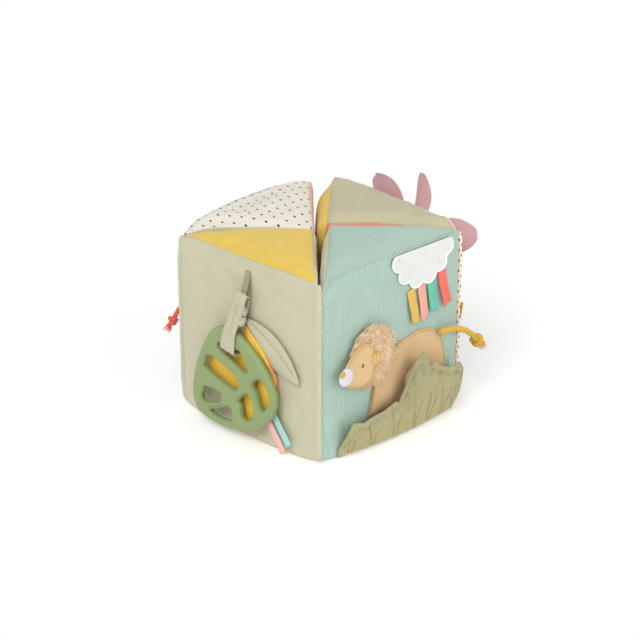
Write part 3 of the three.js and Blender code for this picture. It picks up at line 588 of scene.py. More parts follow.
def mapped_grid(bm, columns, rows, at, uv):
    """A grid with its vertices where at(u, v) says, u and v running from 0 to 1; its vertices and faces."""
    verts = bmesh.ops.create_grid(bm, x_segments=columns, y_segments=rows, size=0.5)["verts"]
    shares = {vert: (vert.co.x + 0.5, vert.co.y + 0.5) for vert in verts}
    faces = [face for face in bm.faces if face.verts[0] in shares]
    set_uv(bm, faces, lambda vert: uv(*shares[vert]))
    for vert in verts:
        vert.co = at(*shares[vert])
    return verts, faces


def close_ends(bm, verts):
    """Joins a rolled grid's seam and fills its two ends."""
    bmesh.ops.remove_doubles(bm, verts=verts, dist=1e-3)
    bmesh.ops.holes_fill(bm, edges=[edge for edge in bm.edges if edge.is_boundary], sides=0)
    return bm


def ball(middle, radii, segments, rings):
    """A flattened ball."""
    bm = bmesh.new()
    bmesh.ops.create_uvsphere(bm, u_segments=segments, v_segments=rings, radius=1.0,
                              matrix=Matrix.Translation(middle) @ Matrix.Diagonal((*radii, 1)))
    return bm


def frames_along(points):
    """Points with two directions across the line at each, turning as little as possible."""
    tangents = [(b - a).normalized() for a, b in zip((points[0], *points[:-1]), (*points[1:], points[-1]))]
    across = tangents[0].orthogonal().normalized()
    made = [(points[0], across, tangents[0].cross(across))]
    for i in range(1, len(points)):
        across = tangents[i - 1].rotation_difference(tangents[i]) @ across
        across = (across - tangents[i] * across.dot(tangents[i])).normalized()
        made.append((points[i], across, tangents[i].cross(across)))
    return made


def tube(bm, points, radius, sides=12, lobes=0, lobe=0.0, turns=0.0, shrink=None):
    """A closed tube along the points; lobes make it a cord of twisted strands."""
    frames = frames_along([Vector(p) for p in points])
    last = len(frames) - 1
    total = line_length([f[0] for f in frames])

    def at(u, v):
        middle, across, other = frames[round(v * last)]
        angle = 2 * math.pi * u
        grooved = 1 - lobe * (1 - abs(math.cos(lobes / 2 * angle))) if lobes else 1
        size = radius * grooved * (shrink(v) if shrink else 1)
        spin = angle + 2 * math.pi * turns * v
        return middle + (across * math.cos(spin) + other * math.sin(spin)) * size

    verts, _ = mapped_grid(bm, sides, last, at, lambda u, v: (u * 2 * math.pi * radius, v * total))
    return close_ends(bm, verts)


def band(bm, points, width, side, thickness, columns, fold=None):
    """A ribbon along the points: width may be a function of the share along it."""
    points = [Vector(p) for p in points]
    side = Vector(side).normalized()
    last = len(points) - 1
    total = line_length(points)
    wide = width if callable(width) else lambda v: width

    def at(u, v):
        k = round(v * last)
        before, after = points[max(0, k - 1)], points[min(last, k + 1)]
        up = side.cross((after - before).normalized())
        lift = fold(u, v) if fold else 0.0
        return points[k] + side * ((u - 0.5) * wide(v)) + up * lift

    _, faces = mapped_grid(bm, columns, last, at, lambda u, v: (u * wide(v), v * total))
    bmesh.ops.recalc_face_normals(bm, faces=faces)
    bmesh.ops.solidify(bm, geom=faces, thickness=thickness)
    return bm


# Each kind of stitch: its length, the gap after it and the thickness of the thread
STITCHES = {
    "seam": (1.3, 2.6, 0.26), "front edge": (1.3, 2.6, 0.16), "crinkle leaf": (2.4, 1.2, 0.3),
    "vein": (2.2, 1.0, 0.26), "cloud mark": (1.7, 0.2, 0.3), "body": (2.2, 0.35, 0.38),
    "leg": (2.2, 0.3, 0.6), "inner leg": (2.2, 0.6, 0.4), "face": (2.2, 0.15, 0.44),
    "ear": (2.0, 0.15, 0.46), "ear fold": (2.2, 0.2, 0.55), "eye": (4.2, 0.0, 0.85),
    "nose": (6.0, 0.0, 0.62), "blade": (2.2, 0.2, 0.5), "hem": (2.2, 0.4, 0.34),
    "elephant": (2.4, 1.3, 0.32),
}


def stitches(bm, points, kind):
    """Running stitches along a line: short rounded lengths of thread."""
    stitch, gap, thick = STITCHES[kind]
    points = [Vector(p) for p in points]
    count = max(1, int(line_length(points) / (stitch + gap)))
    marks = evenly(points, count * 2)
    for start, end in zip(marks[::2], marks[1::2]):
        along = end - start
        if along.length < 1e-6:
            continue
        turn = along.to_track_quat("X", "Z").to_matrix().to_4x4()
        size = Matrix.Diagonal((stitch / 2, thick, thick, 1.0))
        bmesh.ops.create_uvsphere(
            bm, u_segments=6, v_segments=4, radius=1.0,
            matrix=Matrix.Translation((start + end) / 2) @ turn @ size)
    return bm


def closed_stitches(outline, depth, height, kind):
    """Stitches all the way round, at a depth inside the outline and at a height."""
    line = [(x, y, height) for x, y in inset_loop(outline, depth)]
    return stitches(bmesh.new(), [*line, line[0]], kind)


def leaf_half(width, share, belly=0.8, blunt=1.0):
    """Half a leaf's width at a share of its length."""
    return width / 2 * math.sin(math.pi * (0.03 + 0.94 * share) ** belly) ** blunt


def leaf(long, width, thickness, rise, rows, columns, belly=0.8, blunt=1.0):
    """A leaf from its root at the origin, pointing up; rise lifts it by side and share."""
    bm = bmesh.new()

    def at(u, v):
        side = u * 2 - 1
        return Vector((leaf_half(width, v, belly, blunt) * side, long * v, rise(side, v)))

    _, faces = mapped_grid(bm, columns, rows, at, lambda u, v: ((u - 0.5) * width, v * long))
    bmesh.ops.recalc_face_normals(bm, faces=faces)
    if faces[0].normal.z < 0:
        bmesh.ops.reverse_faces(bm, faces=faces)
    made = bmesh.ops.extrude_face_region(bm, geom=faces, use_keep_orig=True)
    for vert in verts_in(made["geom"]):
        share = within(vert.co.y / long)
        half = max(0.1, leaf_half(width, share, belly, blunt))
        edge = min(1.0, (half - abs(vert.co.x)) / 2.5, (long * min(share, 1 - share) + 0.5) / 3)
        vert.co.z += thickness * (0.35 + 0.65 * math.sqrt(max(0.0, edge)))
    set_uv(bm)
    return bm


def loop_area(loop):
    """The area inside a closed flat outline drawn in millimetres, in square metres."""
    return abs(turning_area(loop)) / 2 * MM * MM


def in_frame(x, y, out, turn=0.0):
    return Matrix.Translation((x, y, out)) @ turned(turn)


# Stage

CAMERA_TURN, CAMERA_LIFT = -42.99, 24.65  # degrees; found from the cube's seven visible corners
CAMERA_AIM = Vector((-1.98, 1.85, 71.87))
CAMERA_DISTANCE = 1570.76
CAMERA_LENS, CAMERA_SENSOR = 112.5, 36.0
LAMPS = (("Key", (-1.15, -0.5, 1.45), 15.5, 0.9), ("Fill", (0.4, -1.45, 0.65), 7.0, 1.0))
LAMP_AIM = Vector((0, 0, 0.07))
WHITE = (1.0, 1.0, 1.0, 1.0)
FLOOR_CENTRE = (80.0, 20.0, 0.0)  # round here the floor shows shadows
FLOOR_FADE = (130.0, 300.0)  # from the first distance to the second it turns plain white


def build_stage(sizes, colours):
    """Camera, lamps, background and floor."""
    scene = bpy.context.scene
    scene.view_settings.view_transform = "Standard"
    build_camera(scene)
    for name, spot, power, size in LAMPS:
        lamp = bpy.data.lights.new(name, "AREA")
        lamp.energy, lamp.size = power, size
        light = bpy.data.objects.new(name, lamp)
        light.location = spot
        light.rotation_euler = (LAMP_AIM - Vector(spot)).to_track_quat("-Z", "Y").to_euler()
        scene.collection.objects.link(light)
    build_background(scene)
    build_floor(scene)


def build_camera(scene):
    turn, lift = math.radians(CAMERA_TURN), math.radians(CAMERA_LIFT)
    back = Vector((math.sin(turn) * math.cos(lift), -math.cos(turn) * math.cos(lift), math.sin(lift)))
    data = bpy.data.cameras.new("Camera")
    data.lens, data.sensor_width = CAMERA_LENS, CAMERA_SENSOR
    camera = bpy.data.objects.new("Camera", data)
    camera.location = (CAMERA_AIM + back * CAMERA_DISTANCE) * MM
    camera.rotation_euler = (-back).to_track_quat("-Z", "Y").to_euler()
    scene.collection.objects.link(camera)
    scene.camera = camera


def build_background(scene):
    """Plain white where it is seen, softer where it only lights the scene."""
    scene.world = bpy.data.worlds.new("Studio")
    look = Look("Studio", scene.world, "ShaderNodeOutputWorld")
    rays = ("Is Camera Ray", "Is Glossy Ray", "Is Transmission Ray")
    camera, glossy, through = (look.node("ShaderNodeLightPath", result=ray) for ray in rays)
    lit = look.node("ShaderNodeBackground", values={"Color": WHITE, "Strength": 0.6})
    seen = look.node("ShaderNodeBackground", values={"Color": WHITE})
    look.end(look.node("ShaderNodeMixShader", values={0: camera + glossy + through, 1: lit, 2: seen}))


def build_floor(scene):
    """A floor that shows the shadows near the cube and glows plain white further off."""
    bm = bmesh.new()
    bmesh.ops.create_grid(bm, x_segments=8, y_segments=8, size=3.0)
    mesh = bpy.data.meshes.new("Floor")
    bm.to_mesh(mesh)
    bm.free()
    look = Look("Floor")
    aside = look.vector("SUBTRACT", {0: look.place_mm(), 1: FLOOR_CENTRE})
    far = look.vector("LENGTH", {0: aside}, "Value")
    lit = look.node("ShaderNodeBsdfDiffuse", values={"Color": (0.95, 0.95, 0.95, 1.0)})
    dim = look.node("ShaderNodeEmission", values={"Color": WHITE, "Strength": 0.16})
    glow = look.node("ShaderNodeEmission", values={"Color": WHITE, "Strength": 1.0})
    close = look.node("ShaderNodeAddShader", values={0: lit, 1: dim})
    values = {0: far.fade(*FLOOR_FADE), 1: close, 2: glow}
    mesh.materials.append(look.end(look.node("ShaderNodeMixShader", values=values)))
    floor = bpy.data.objects.new("Floor", mesh)
    floor.location.z = -0.0002
    scene.collection.objects.link(floor)


# Cord tails

# Each tail: its root on the face, its reach to the right, up and out, its knot's fatness, and its path
# in shares of the reach
TAILS = {
    "lion": ((46, 74.52, 7.1), (42, 42, 5), 0.72, "gold", (
        (0, 0, 0), (0.16, -0.01, 0), (0.34, -0.04, -0.1), (0.54, -0.11, -0.16), (0.73, -0.2, -0.22),
        (0.89, -0.32, -0.3), (1, -0.43, -0.4))),
    "elephant": ((40, 79.6, 6.9), (30, 30, 4.2), 0.62, "red", (
        (0, 0, 0), (0.2, 0.06, 0.02), (0.43, 0.05, 0.16), (0.67, 0.01, 0.44), (0.86, -0.1, 0.86),
        (0.98, -0.28, 1.19))),
}


def build_tails(sizes, colours):
    """Twisted cords, each with an overhand knot and a frayed end."""
    for animal, (root, reach, fatness, colour, path) in TAILS.items():
        thick = getattr(sizes, f"{animal}_cord") / MM
        look = twisted(f"{animal} cord", getattr(colours, colour))
        to_row, body = face_frame(animal, sizes), f"{animal}_wedge"
        points = [tuple(start + far * share for start, far, share in zip(root, reach, p)) for p in path]
        line = evenly(smooth_line(points, 12), 60)
        turns = line_length(line) / (thick * 2.6)
        bm = tube(bmesh.new(), line, thick / 2, sides=24, lobes=3, lobe=0.22, turns=turns)
        cord = place(f"{animal}_tail_cord", bm, to_row, look, body, colour)
        bm = knot(line, thick, thick * fatness)
        end = place(f"{animal}_tail_knot", bm, to_row, look, body, colour)
        route = [(to_row @ p) * MM for p in line]
        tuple(route[0])
        line_length(route)


def knot(line, thick, fat):
    """The cord goes once round itself at the line's end, comes out below and frays."""
    heading = (line[-1] - line[-2]).normalized()
    side = heading.orthogonal().normalized()
    other = heading.cross(side)
    start = line[-1] + heading * 0.2

    def round_it(angle, reach):
        return (side * math.cos(angle) + other * math.sin(angle)) * reach

    bm = bmesh.new()
    ring = [start + heading * fat * (0.9 + 1.3 * k / 28) + round_it(2.5 * math.pi * k / 28, fat * 0.95)
            for k in range(29)]
    tube(bm, evenly(smooth_line(ring, 2), 48), thick * 0.46, 16, lobes=3, lobe=0.18, turns=5.0)
    core = [start - heading * 0.1, start + heading * fat * 1.5, start + heading * fat * 3.1]
    tube(bm, evenly(core, 16), thick * 0.5, 16, lobes=3, lobe=0.18, turns=2.0)
    draws = random.Random(7)
    for k in range(26):
        lean = draws.uniform(0.15, 0.75)
        reach = thick * draws.uniform(1.1, 1.75)
        spread = round_it(2.4 * k, 1)
        foot = start + heading * fat * 2.9 + spread * thick * 0.3
        tip = foot + heading * reach + spread * lean * reach * 0.5
        bend = (foot + tip) / 2 + spread * thick * draws.uniform(-0.1, 0.25)
        strand = evenly(smooth_line([foot, bend, tip], 4), 7)
        tube(bm, strand, thick * 0.085, 5, shrink=lambda v: 1 - 0.6 * v)
    return bm


# Wedges: a cloth cover, swollen by a cloth simulation, round a block of stuffing

# The cloth of each panel, in the order of PANELS
WEDGES = {
    "lion": ("aqua", "sage", "peach", "aqua", "aqua"),
    "leaf": ("sage", "aqua", "ecru", "mustard", "mustard"),
    "flower": ("ecru", "coral", "mustard", "top_sage", "top_sage"),
    "elephant": ("aqua", "peach", "sage", "ecru", "ecru"),
}
# How far each top corner (left, right, middle of the cube) of a wedge sinks
CORNER_DROP = {
    "lion": (1.5, 2.0, 0.8), "leaf": (5.5, 1.5, 0.8), "flower": (2.5, 2.5, 0.8),
    "elephant": (3.5, 5.5, 0.8)}
# How far a wedge's top is stuffed above the cube's height, at the same corners
TOP_RISE = {
    "lion": (0.0, 1.6, 3.2), "leaf": (-1.0, 0.0, -1.0), "flower": (2.2, 5.6, 3.6),
    "elephant": (2.2, -1.5, -1.5)}
# How far an outer face's top seam bows outwards, and how far it arches up
SEAM_BOW = {"lion": (1.0, 0.4), "leaf": (3.0, 0.2), "flower": (3.0, 1.0), "elephant": (5.0, 3.2)}
# How far an outer face's left and right foot corners lift, and how far its bottom seam bows outwards
FOOT_RISE = {"lion": (2.2, 4.0), "leaf": (2.5, 2.2), "flower": (4.5, 4.0), "elephant": (4.0, 2.5)}
FOOT_BOW = {"lion": 5.0, "leaf": 5.0, "flower": 3.0, "elephant": 3.0}
# The inner face beside the open slot: which it is, how many times the inner crown it swells, and the
# part of the slot's width that it may fill
SLOT_FACE = {"lion": (LEFT, 2.5, 0.5), "leaf": (RIGHT, 2.5, 0.5), "flower": (RIGHT, 20.0, 0.84),
             "elephant": (LEFT, 9.0, 0.16)}
SLOT_FILLERS = ("flower", "elephant")  # the wedges across the slot's back half
SLOT_AT_TIP = 2.7  # width of the slot where it starts
SLOT_PLAY = 0.12  # left open between the two faces


def wedge_prism(grid):
    """A closed wedge cut into small squares; every face's panel number is in the layer "panel"."""
    bm = bmesh.new()
    foot = [bm.verts.new(p) for p in ((-REACH, -HALF, 0), (REACH, -HALF, 0), (0, TIP, 0))]
    base = bm.faces.new(foot)
    made = bmesh.ops.extrude_face_region(bm, geom=[base], use_keep_orig=True)
    bmesh.ops.translate(bm, verts=verts_in(made["geom"]), vec=(0, 0, HEIGHT))
    bmesh.ops.recalc_face_normals(bm, faces=bm.faces)
    panel = bm.faces.layers.int.new("panel")
    for face in bm.faces:
        n = face.normal
        level = TOP if n.z > 0.5 else BOTTOM if n.z < -0.5 else None
        face[panel] = level or (OUTER if n.y < -0.9 else LEFT if n.x < 0 else RIGHT)

    def cut(where, across, faces=None):
        parts = {part for face in faces or () for part in (*face.edges, *face.verts)}
        geom = [*faces, *parts] if faces else [*bm.verts, *bm.edges, *bm.faces]
        bmesh.ops.bisect_plane(bm, geom=geom, dist=0.001, plane_co=where, plane_no=across)

    count = round(REACH / grid)
    for i in range(-count + 1, count):
        cut((REACH * i / count, 0, 0), (1, 0, 0))
    for i in range(1, count):
        level = [face for face in bm.faces if face[panel] in (TOP, BOTTOM)]
        cut((0, TIP + (-HALF - TIP) * i / count, 0), (0, 1, 0), level)
    rows = round(HEIGHT / grid)
    for i in range(1, rows):
        cut((0, 0, HEIGHT * i / rows), (0, 0, 1))
    return bm, panel


def set_panel_uv(bm, panel):
    """Gives each panel its own cloth coordinates, laid along the panel."""
    for number in range(len(PANELS)):

        def at(vert, number=number):
            if number == OUTER:
                return vert.co.x, vert.co.z
            if number in (LEFT, RIGHT):
                side = 1 if number == LEFT else -1
                return math.hypot(vert.co.x, vert.co.y - TIP) * side, vert.co.z
            return vert.co.x, vert.co.y

        set_uv(bm, [face for face in bm.faces if face[panel] == number], at)


def seam_vertices(bm, panel):
    """Vertices where two panels meet."""
    return {vert for vert in bm.verts if len({face[panel] for face in vert.link_faces}) > 1}


def swollen(meshes):
    """Runs the cloth simulation on all covers together, and returns each vertex's new place in mm."""
    apart, steps = 0.2, 20
    joined, starts = bmesh.new(), []
    for index, mesh in enumerate(meshes):
        starts.append(len(joined.verts))
        joined.from_mesh(mesh)
        joined.verts.ensure_lookup_table()
        for vert in joined.verts[starts[-1]:]:
            vert.co.x += apart * index
    data = bpy.data.meshes.new("swelling")
    joined.to_mesh(data)
    joined.free()
    work = bpy.data.objects.new("swelling", data)
    bpy.context.scene.collection.objects.link(work)
    pinned = [v.index for v in data.vertices if data.attributes["pinned"].data[v.index].value > 0.5]
    work.vertex_groups.new(name="pins").add(pinned, 1.0, "REPLACE")
    settings = work.modifiers.new("Cloth", "CLOTH").settings
    settings.quality, settings.mass = 5, 0.1
    settings.tension_stiffness = settings.compression_stiffness = 15
    settings.bending_stiffness = 0.02
    settings.use_pressure, settings.uniform_pressure_force = True, 2.2
    settings.vertex_group_mass = "pins"
    settings.effector_weights.gravity = 0
    settings.shrink_min = -0.045
    for step in range(1, steps + 1):
        bpy.context.scene.frame_set(step)
    result = work.evaluated_get(bpy.context.evaluated_depsgraph_get()).to_mesh()
    co = np.array([v.co[:] for v in result.vertices], float)
    bpy.context.scene.frame_set(1)
    bpy.data.objects.remove(work)
    made = []
    for index, (mesh, start) in enumerate(zip(meshes, starts)):
        part = co[start:start + len(mesh.vertices)].copy()
        part[:, 0] -= apart * index
        made.append(part / MM)
    return made


def smoothed(values, pairs, rounds):
    """Values at the vertices, averaged with their neighbours."""
    count = np.zeros(len(values))
    np.add.at(count, pairs[:, 0], 1)
    np.add.at(count, pairs[:, 1], 1)
    for _ in range(rounds):
        total = np.zeros_like(values)
        np.add.at(total, pairs[:, 0], values[pairs[:, 1]])
        np.add.at(total, pairs[:, 1], values[pairs[:, 0]])
        values = 0.4 * values + 0.6 * total / np.maximum(count, 1)
    return values


def build_wedges(sizes, colours):
    """Twenty panels, their seam stitching and four blocks of stuffing."""
    covers, meshes = {}, []
    for wedge in WEDGES:
        bm, panel = wedge_prism(sizes.grid / MM)
        set_panel_uv(bm, panel)
        seams = seam_vertices(bm, panel)
        shape_seams(bm, seams, wedge)
        flag = bm.verts.layers.float.new("pinned")
        for vert in bm.verts:
            vert[flag] = 1.0 if vert in seams else 0.0
        covers[wedge] = (bm, panel)
        mesh = bpy.data.meshes.new(wedge)
        copy = bm.copy()
        bmesh.ops.scale(copy, vec=(MM, MM, MM), verts=copy.verts)
        copy.to_mesh(mesh)
        copy.free()
        meshes.append(mesh)
    moved = swollen(meshes)
    looks = {}
    for (wedge, (bm, panel)), places in zip(covers.items(), moved):
        crowns = [sizes.outer_crown, sizes.inner_crown, sizes.inner_crown, sizes.top_crown, 0.0]
        slot_side, swell, _ = SLOT_FACE[wedge]
        crowns = [crown / MM * (swell if i == slot_side else 1.0) for i, crown in enumerate(crowns)]
        settle(bm, panel, places, crowns, wedge, sizes)
        seam_stitches(bm, panel, wedge, sizes, colours)
        make_panels(wedge, bm, looks, sizes, colours)
    for mesh in meshes:
        bpy.data.meshes.remove(mesh)
    look = felt("Stuffing fibre", colours.foam, 1.2)
    for wedge in WEDGES:
        stuffing(wedge, look)


def shape_seams(bm, seams, wedge):
    """Stuffs and lowers the corners, bows the seams, and lets them run a little unevenly."""
    tops = [Vector((-REACH, -HALF, HEIGHT)), Vector((REACH, -HALF, HEIGHT)), Vector((0, TIP, HEIGHT))]
    bow, arch = SEAM_BOW[wedge]
    for vert in bm.verts:
        start = vert.co.copy()
        to_middle = (start.y + HALF) / (TIP + HALF)
        to_right = (start.x / REACH + 1 - to_middle) / 2
        shares = (1 - to_middle - to_right, to_right, to_middle)
        high = near(HEIGHT - start.z, 60)
        belly = (1 - (start.x / REACH) ** 2) * (1 - to_middle)
        vert.co.z += high * sum(share * rise for share, rise in zip(shares, TOP_RISE[wedge]))
        vert.co.z += arch * belly * high
        vert.co.y -= bow * belly * near(HEIGHT - start.z, 30)
        for corner, drop in zip(tops, CORNER_DROP[wedge]):
            sink = drop * near((start - corner).length, 26)
            vert.co.z -= sink
            if corner is not tops[2]:
                vert.co.x -= math.copysign(sink * 0.2, corner.x)
                vert.co.y += sink * 0.35
        for side, rise in zip((-REACH, REACH), FOOT_RISE[wedge]):
            lift = rise * near((start - Vector((side, -HALF, 0))).length, 24)
            vert.co.z += lift
            vert.co.y += lift * 0.4
        vert.co.y -= FOOT_BOW[wedge] * belly * near(start.z, 15, 1.5)
        pull_in(vert, start, tops, 1 - to_middle, wedge)
        if vert in seams:
            unevenly(vert, start, wedge)


def pull_in(vert, start, tops, outer, wedge):
    """Pulls the top in over its edges beside the cube's middle, and folds the flower wedge's top."""
    over = near(HEIGHT - start.z, 16)
    beside = (start - tops[2]).dot(LEFT_IN)
    if wedge == "lion":
        vert.co += LEFT_IN * 3.5 * over * near(beside, 30)
    if wedge == "flower":
        at_back = near((start - tops[1]).length, 35)
        depth = (start - tops[2]).dot(RIGHT_IN)
        vert.co += RIGHT_IN * (1.3 + 3.5 * at_back) * over * near(depth, 30)
        if start.z > HEIGHT - 1:
            # a fold turned up beside the lion wedge's top, with a dip before it
            vert.co.z -= 2.4 * bell(beside, 3) * within((outer - 0.38) * 4)
            ridge = 3.2 + 1.6 * noise.noise(start * 0.16)
            vert.co.z += ridge * bell(beside - 10, 5.0) * min(1.0, outer * 3)


def unevenly(vert, start, wedge):
    """Moves a seam's vertex a little, and turns the outer face's bottom seam under."""
    shake = noise.noise_vector(start * 0.11 + Vector((len(wedge), 0, 3)))
    on_outer = start.y < -HALF + 1
    if start.z > HEIGHT - 1:
        vert.co.z += 0.7 * shake.z
        if on_outer:
            pucker = noise.noise_vector(start * 0.4)
            vert.co.z += 0.55 * pucker.z
            vert.co.y += 0.5 * pucker.y
    elif start.z < 1:
        hem = near(start.y + HALF, 4, 1)
        vert.co.z += hem * (0.9 + 0.6 * shake.z)
        vert.co.y += hem * 1.1
    elif on_outer:
        vert.co.y += 0.5 * abs(shake.y)
        vert.co.x -= math.copysign(0.5 * abs(shake.x), start.x)


def slot_room(wedge, number, spot, sizes):
    """How far an inner face beside the open slot can swell before it meets the face across the slot."""
    slot_side, _, share = SLOT_FACE[wedge]
    if number != slot_side:
        return math.inf
    if wedge in SLOT_FILLERS:
        along = HALF * math.sqrt(2) + math.hypot(spot.x, spot.y - TIP)
    else:
        along = math.hypot(HALF - abs(spot.x), spot.y + HALF)
    width = along * math.tan(math.radians(sizes.rest_open)) + SLOT_AT_TIP
    return share * width - SLOT_PLAY


def slot_filling(wedge, number, spot, room):
    """The flower and elephant wedges' faces fill the slot from just below their top seams."""
    if wedge not in SLOT_FILLERS or number != SLOT_FACE[wedge][0]:
        return 0.0
    edge = 6
    return room * filling(HEIGHT - spot.z, edge) * filling(max(0.0, REACH - abs(spot.x)), edge)


def settle(bm, panel, places, crowns, wedge, sizes):
    """Moves the vertices to where the simulation left them, softly held inside each panel's crown."""
    bm.verts.ensure_lookup_table()
    rest = np.array([v.co[:] for v in bm.verts], float)
    pairs = np.array([(e.verts[0].index, e.verts[1].index) for e in bm.edges], int)
    shift = places - rest
    seams = seam_vertices(bm, panel)
    panels = np.array([-1 if v in seams else v.link_faces[0][panel] for v in bm.verts])
    normals = ((0, -1, 0), (-SLOPE.x, SLOPE.y, 0), (SLOPE.x, SLOPE.y, 0), (0, 0, 1), (0, 0, -1))
    out = np.zeros(len(rest))
    for number, normal in enumerate(normals):
        mine = panels == number
        out[mine] = shift[mine] @ np.array(normal)
    low = smoothed(out, pairs, 30)
    fine = smoothed(out, pairs, 1) - smoothed(out, pairs, 8)
    for vert, number, at, moved, swell, push, wrinkle in zip(bm.verts, panels, rest, shift, low, out, fine):
        if number < 0:
            continue
        crown, normal, spot = crowns[number], Vector(normals[number]), Vector(at)
        height = 0.0
        room = min(crown if number in (OUTER, TOP) else crown * 1.05, slot_room(wedge, number, spot, sizes))
        if crown:
            soft = crown * filling(1.6 * max(0.0, swell), max(crown, 0.5))
            detail = max(-1.3, min(1.3, wrinkle * 1.4)) * 0.9
            height = min(room, soft * 0.86 + detail)
        height = max(height, slot_filling(wedge, number, spot, room))
        side = Vector(moved) - normal * push
        if side.length > 1.2:
            side *= 1.2 / side.length
        vert.co = spot + normal * height + side * 0.7


# The wedges with stitches along the outer face's top seam: the thread's name, its colour and shade
SEAM_THREADS = {"lion": ("Seam thread", "aqua", 0.4), "leaf": ("Gold seam thread", "gold", 0.8)}


def seam_stitches(bm, panel, wedge, sizes, colours):
    """Short stitches along an outer face's top seam."""
    if wedge not in SEAM_THREADS:
        return
    name, colour, factor = SEAM_THREADS[wedge]
    line = sorted((v.co.copy() for v in bm.verts if {OUTER, TOP} <= {f[panel] for f in v.link_faces}),
                  key=lambda p: p.x)
    lift = Vector((0, -0.5, 0.3))
    line = [p + lift for p in evenly(smooth_line(line[1:-1], 3), 120)]
    look = thread(name, shade(getattr(colours, colour), factor))
    bm = stitches(bmesh.new(), line, "seam")
    place(f"{wedge}_wedge_seam_stitching", bm, wedge_frame(wedge, sizes), look, f"{wedge}_wedge")


def make_panels(wedge, bm, looks, sizes, colours):
    """Parts the cover into its five panels, each a cloth of its own."""
    to_row = wedge_frame(wedge, sizes)
    for number, (part, cloth) in enumerate(zip(PANELS, WEDGES[wedge])):
        copy = bm.copy()
        layer = copy.faces.layers.int["panel"]
        others = [face for face in copy.faces if face[layer] != number]
        bmesh.ops.delete(copy, geom=others, context="FACES")
        look = cover_cloth(looks, cloth, wedge == "lion" and part == "outer", colours)
        piece = place(f"{wedge}_wedge_{part}_panel", copy, to_row, look, f"{wedge}_wedge", cloth)
        face_outwards(piece, wedge)
        subdivided(piece)
        solid = piece.modifiers.new("Cloth", "SOLIDIFY")
        solid.thickness, solid.offset = sizes.cover, -1.0
    bm.free()


def face_outwards(piece, wedge):
    """Turns an open panel's faces so that they look away from the wedge's middle."""
    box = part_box(f"{wedge}_wedge_stuffing")
    middle = (Vector(box[0]) + Vector(box[1])) / 2
    if sum((face.center - middle).dot(face.normal) * face.area for face in piece.data.polygons) < 0:
        piece.data.flip_normals()


def cover_cloth(looks, cloth, crinkled, colours):
    """One material for each cloth, and one more for the crinkled one, kept in looks."""
    name = f"{cloth} cotton" + (" crinkled" if crinkled else "")
    if name not in looks:
        dots = (8.7, 0.9, 1.25, colours.ink) if cloth == "ecru" else None
        streak = 0.9 if crinkled else 0.0
        looks[name] = woven(name, getattr(colours, cloth), crease=0.55, streak=streak, dots=dots)
    return looks[name]


def stuffing(wedge, look):
    """A block of fibre stuffing, cut from its CAD block so that it keeps the sound maker's pocket."""
    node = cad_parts[f"{wedge}_wedge_stuffing"]
    bm = bmesh.new()
    bm.from_mesh(node.data)
    bmesh.ops.transform(bm, matrix=node.matrix_world, verts=bm.verts)
    bmesh.ops.remove_doubles(bm, verts=bm.verts, dist=1e-6)
    bmesh.ops.scale(bm, vec=(1 / MM, 1 / MM, 1 / MM), verts=bm.verts)
    long_edges = [edge for edge in bm.edges if edge.calc_length() > 20]
    bmesh.ops.subdivide_edges(bm, edges=long_edges, cuts=3, use_grid_fill=True)
    bmesh.ops.triangulate(bm, faces=bm.faces)
    middle = sum((v.co for v in bm.verts), Vector()) / len(bm.verts)
    for vert in bm.verts:
        inward = (middle - vert.co).normalized()
        vert.co += inward * (1.2 + 0.8 * noise.noise(vert.co * 0.08))
    name = f"{wedge}_wedge_stuffing"
    place(f"{name}_block", bm, Matrix.Identity(4), look, f"{wedge}_wedge", "foam", name)


# The hinge strips: where each stands in the row frame, its body, which way it looks, its radius, and how
# far its top and foot stay back
HINGES = {
    "front": ((-HALF + 0.8, -HALF + 0.8, 0), "lion_wedge", (-1, -1), 2.4, 1.5, 2.6),
    "right": ((HALF - 0.5, -HALF + 0.6, 0), "lion_wedge", (1, -1), 1.6, 0.5, 4.5),
    "left": ((HALF - 1.0, -HALF + 1.3, 0), "leaf_wedge", (1, -1), 2.3, 4.0, 3.2),
}


def build_hinges(sizes, colours):
    """Rolled cloth strips on three upright edges, with stitches on the front one."""
    dotted = woven("Hinge ecru dotted", colours.ecru, crease=0.3, dots=(4.35, 0.75, 1.0, colours.ink))
    sage = woven("Hinge sage", colours.sage, crease=0.3)
    for side, (spot, body, away, thick, drop, rise) in HINGES.items():
        to_row = Matrix.Translation(spot)
        if side == "left":
            to_row = wedge_frame("elephant", sizes) @ to_row
        lean = Vector((*away, 0)).normalized()
        low, high = rise + 0.8, HEIGHT - drop - 1.2
        line = []
        for k in range(75):
            z = low + (high - low) * k / 74
            back = near(high - z, 26) * drop * 0.55 + near(z - low, 24) * rise * 0.5
            shake = noise.noise_vector(Vector((k * 0.35, 0, len(side))))
            line.append(Vector((shake.x, shake.y, 0)) * 0.3 - lean * back + Vector((0, 0, z)))
        bm = tube(bmesh.new(), line, thick, 14, shrink=lambda v: 1 - 0.6 * near(min(v, 1 - v), 0.02))
        place(f"{side}_hinge_strip", bm, to_row, dotted if side == "right" else sage, body, "ecru")
        if side == "front":
            edge = Vector((0.5, -0.86, 0)) * 2.35
            bm = stitches(bmesh.new(), [p + edge for p in line], "front edge")
            pale = thread("Front edge thread", shade(colours.sage, 0.55))
            place(f"{side}_hinge_stitching", bm, to_row, pale, body)


# Leaf face


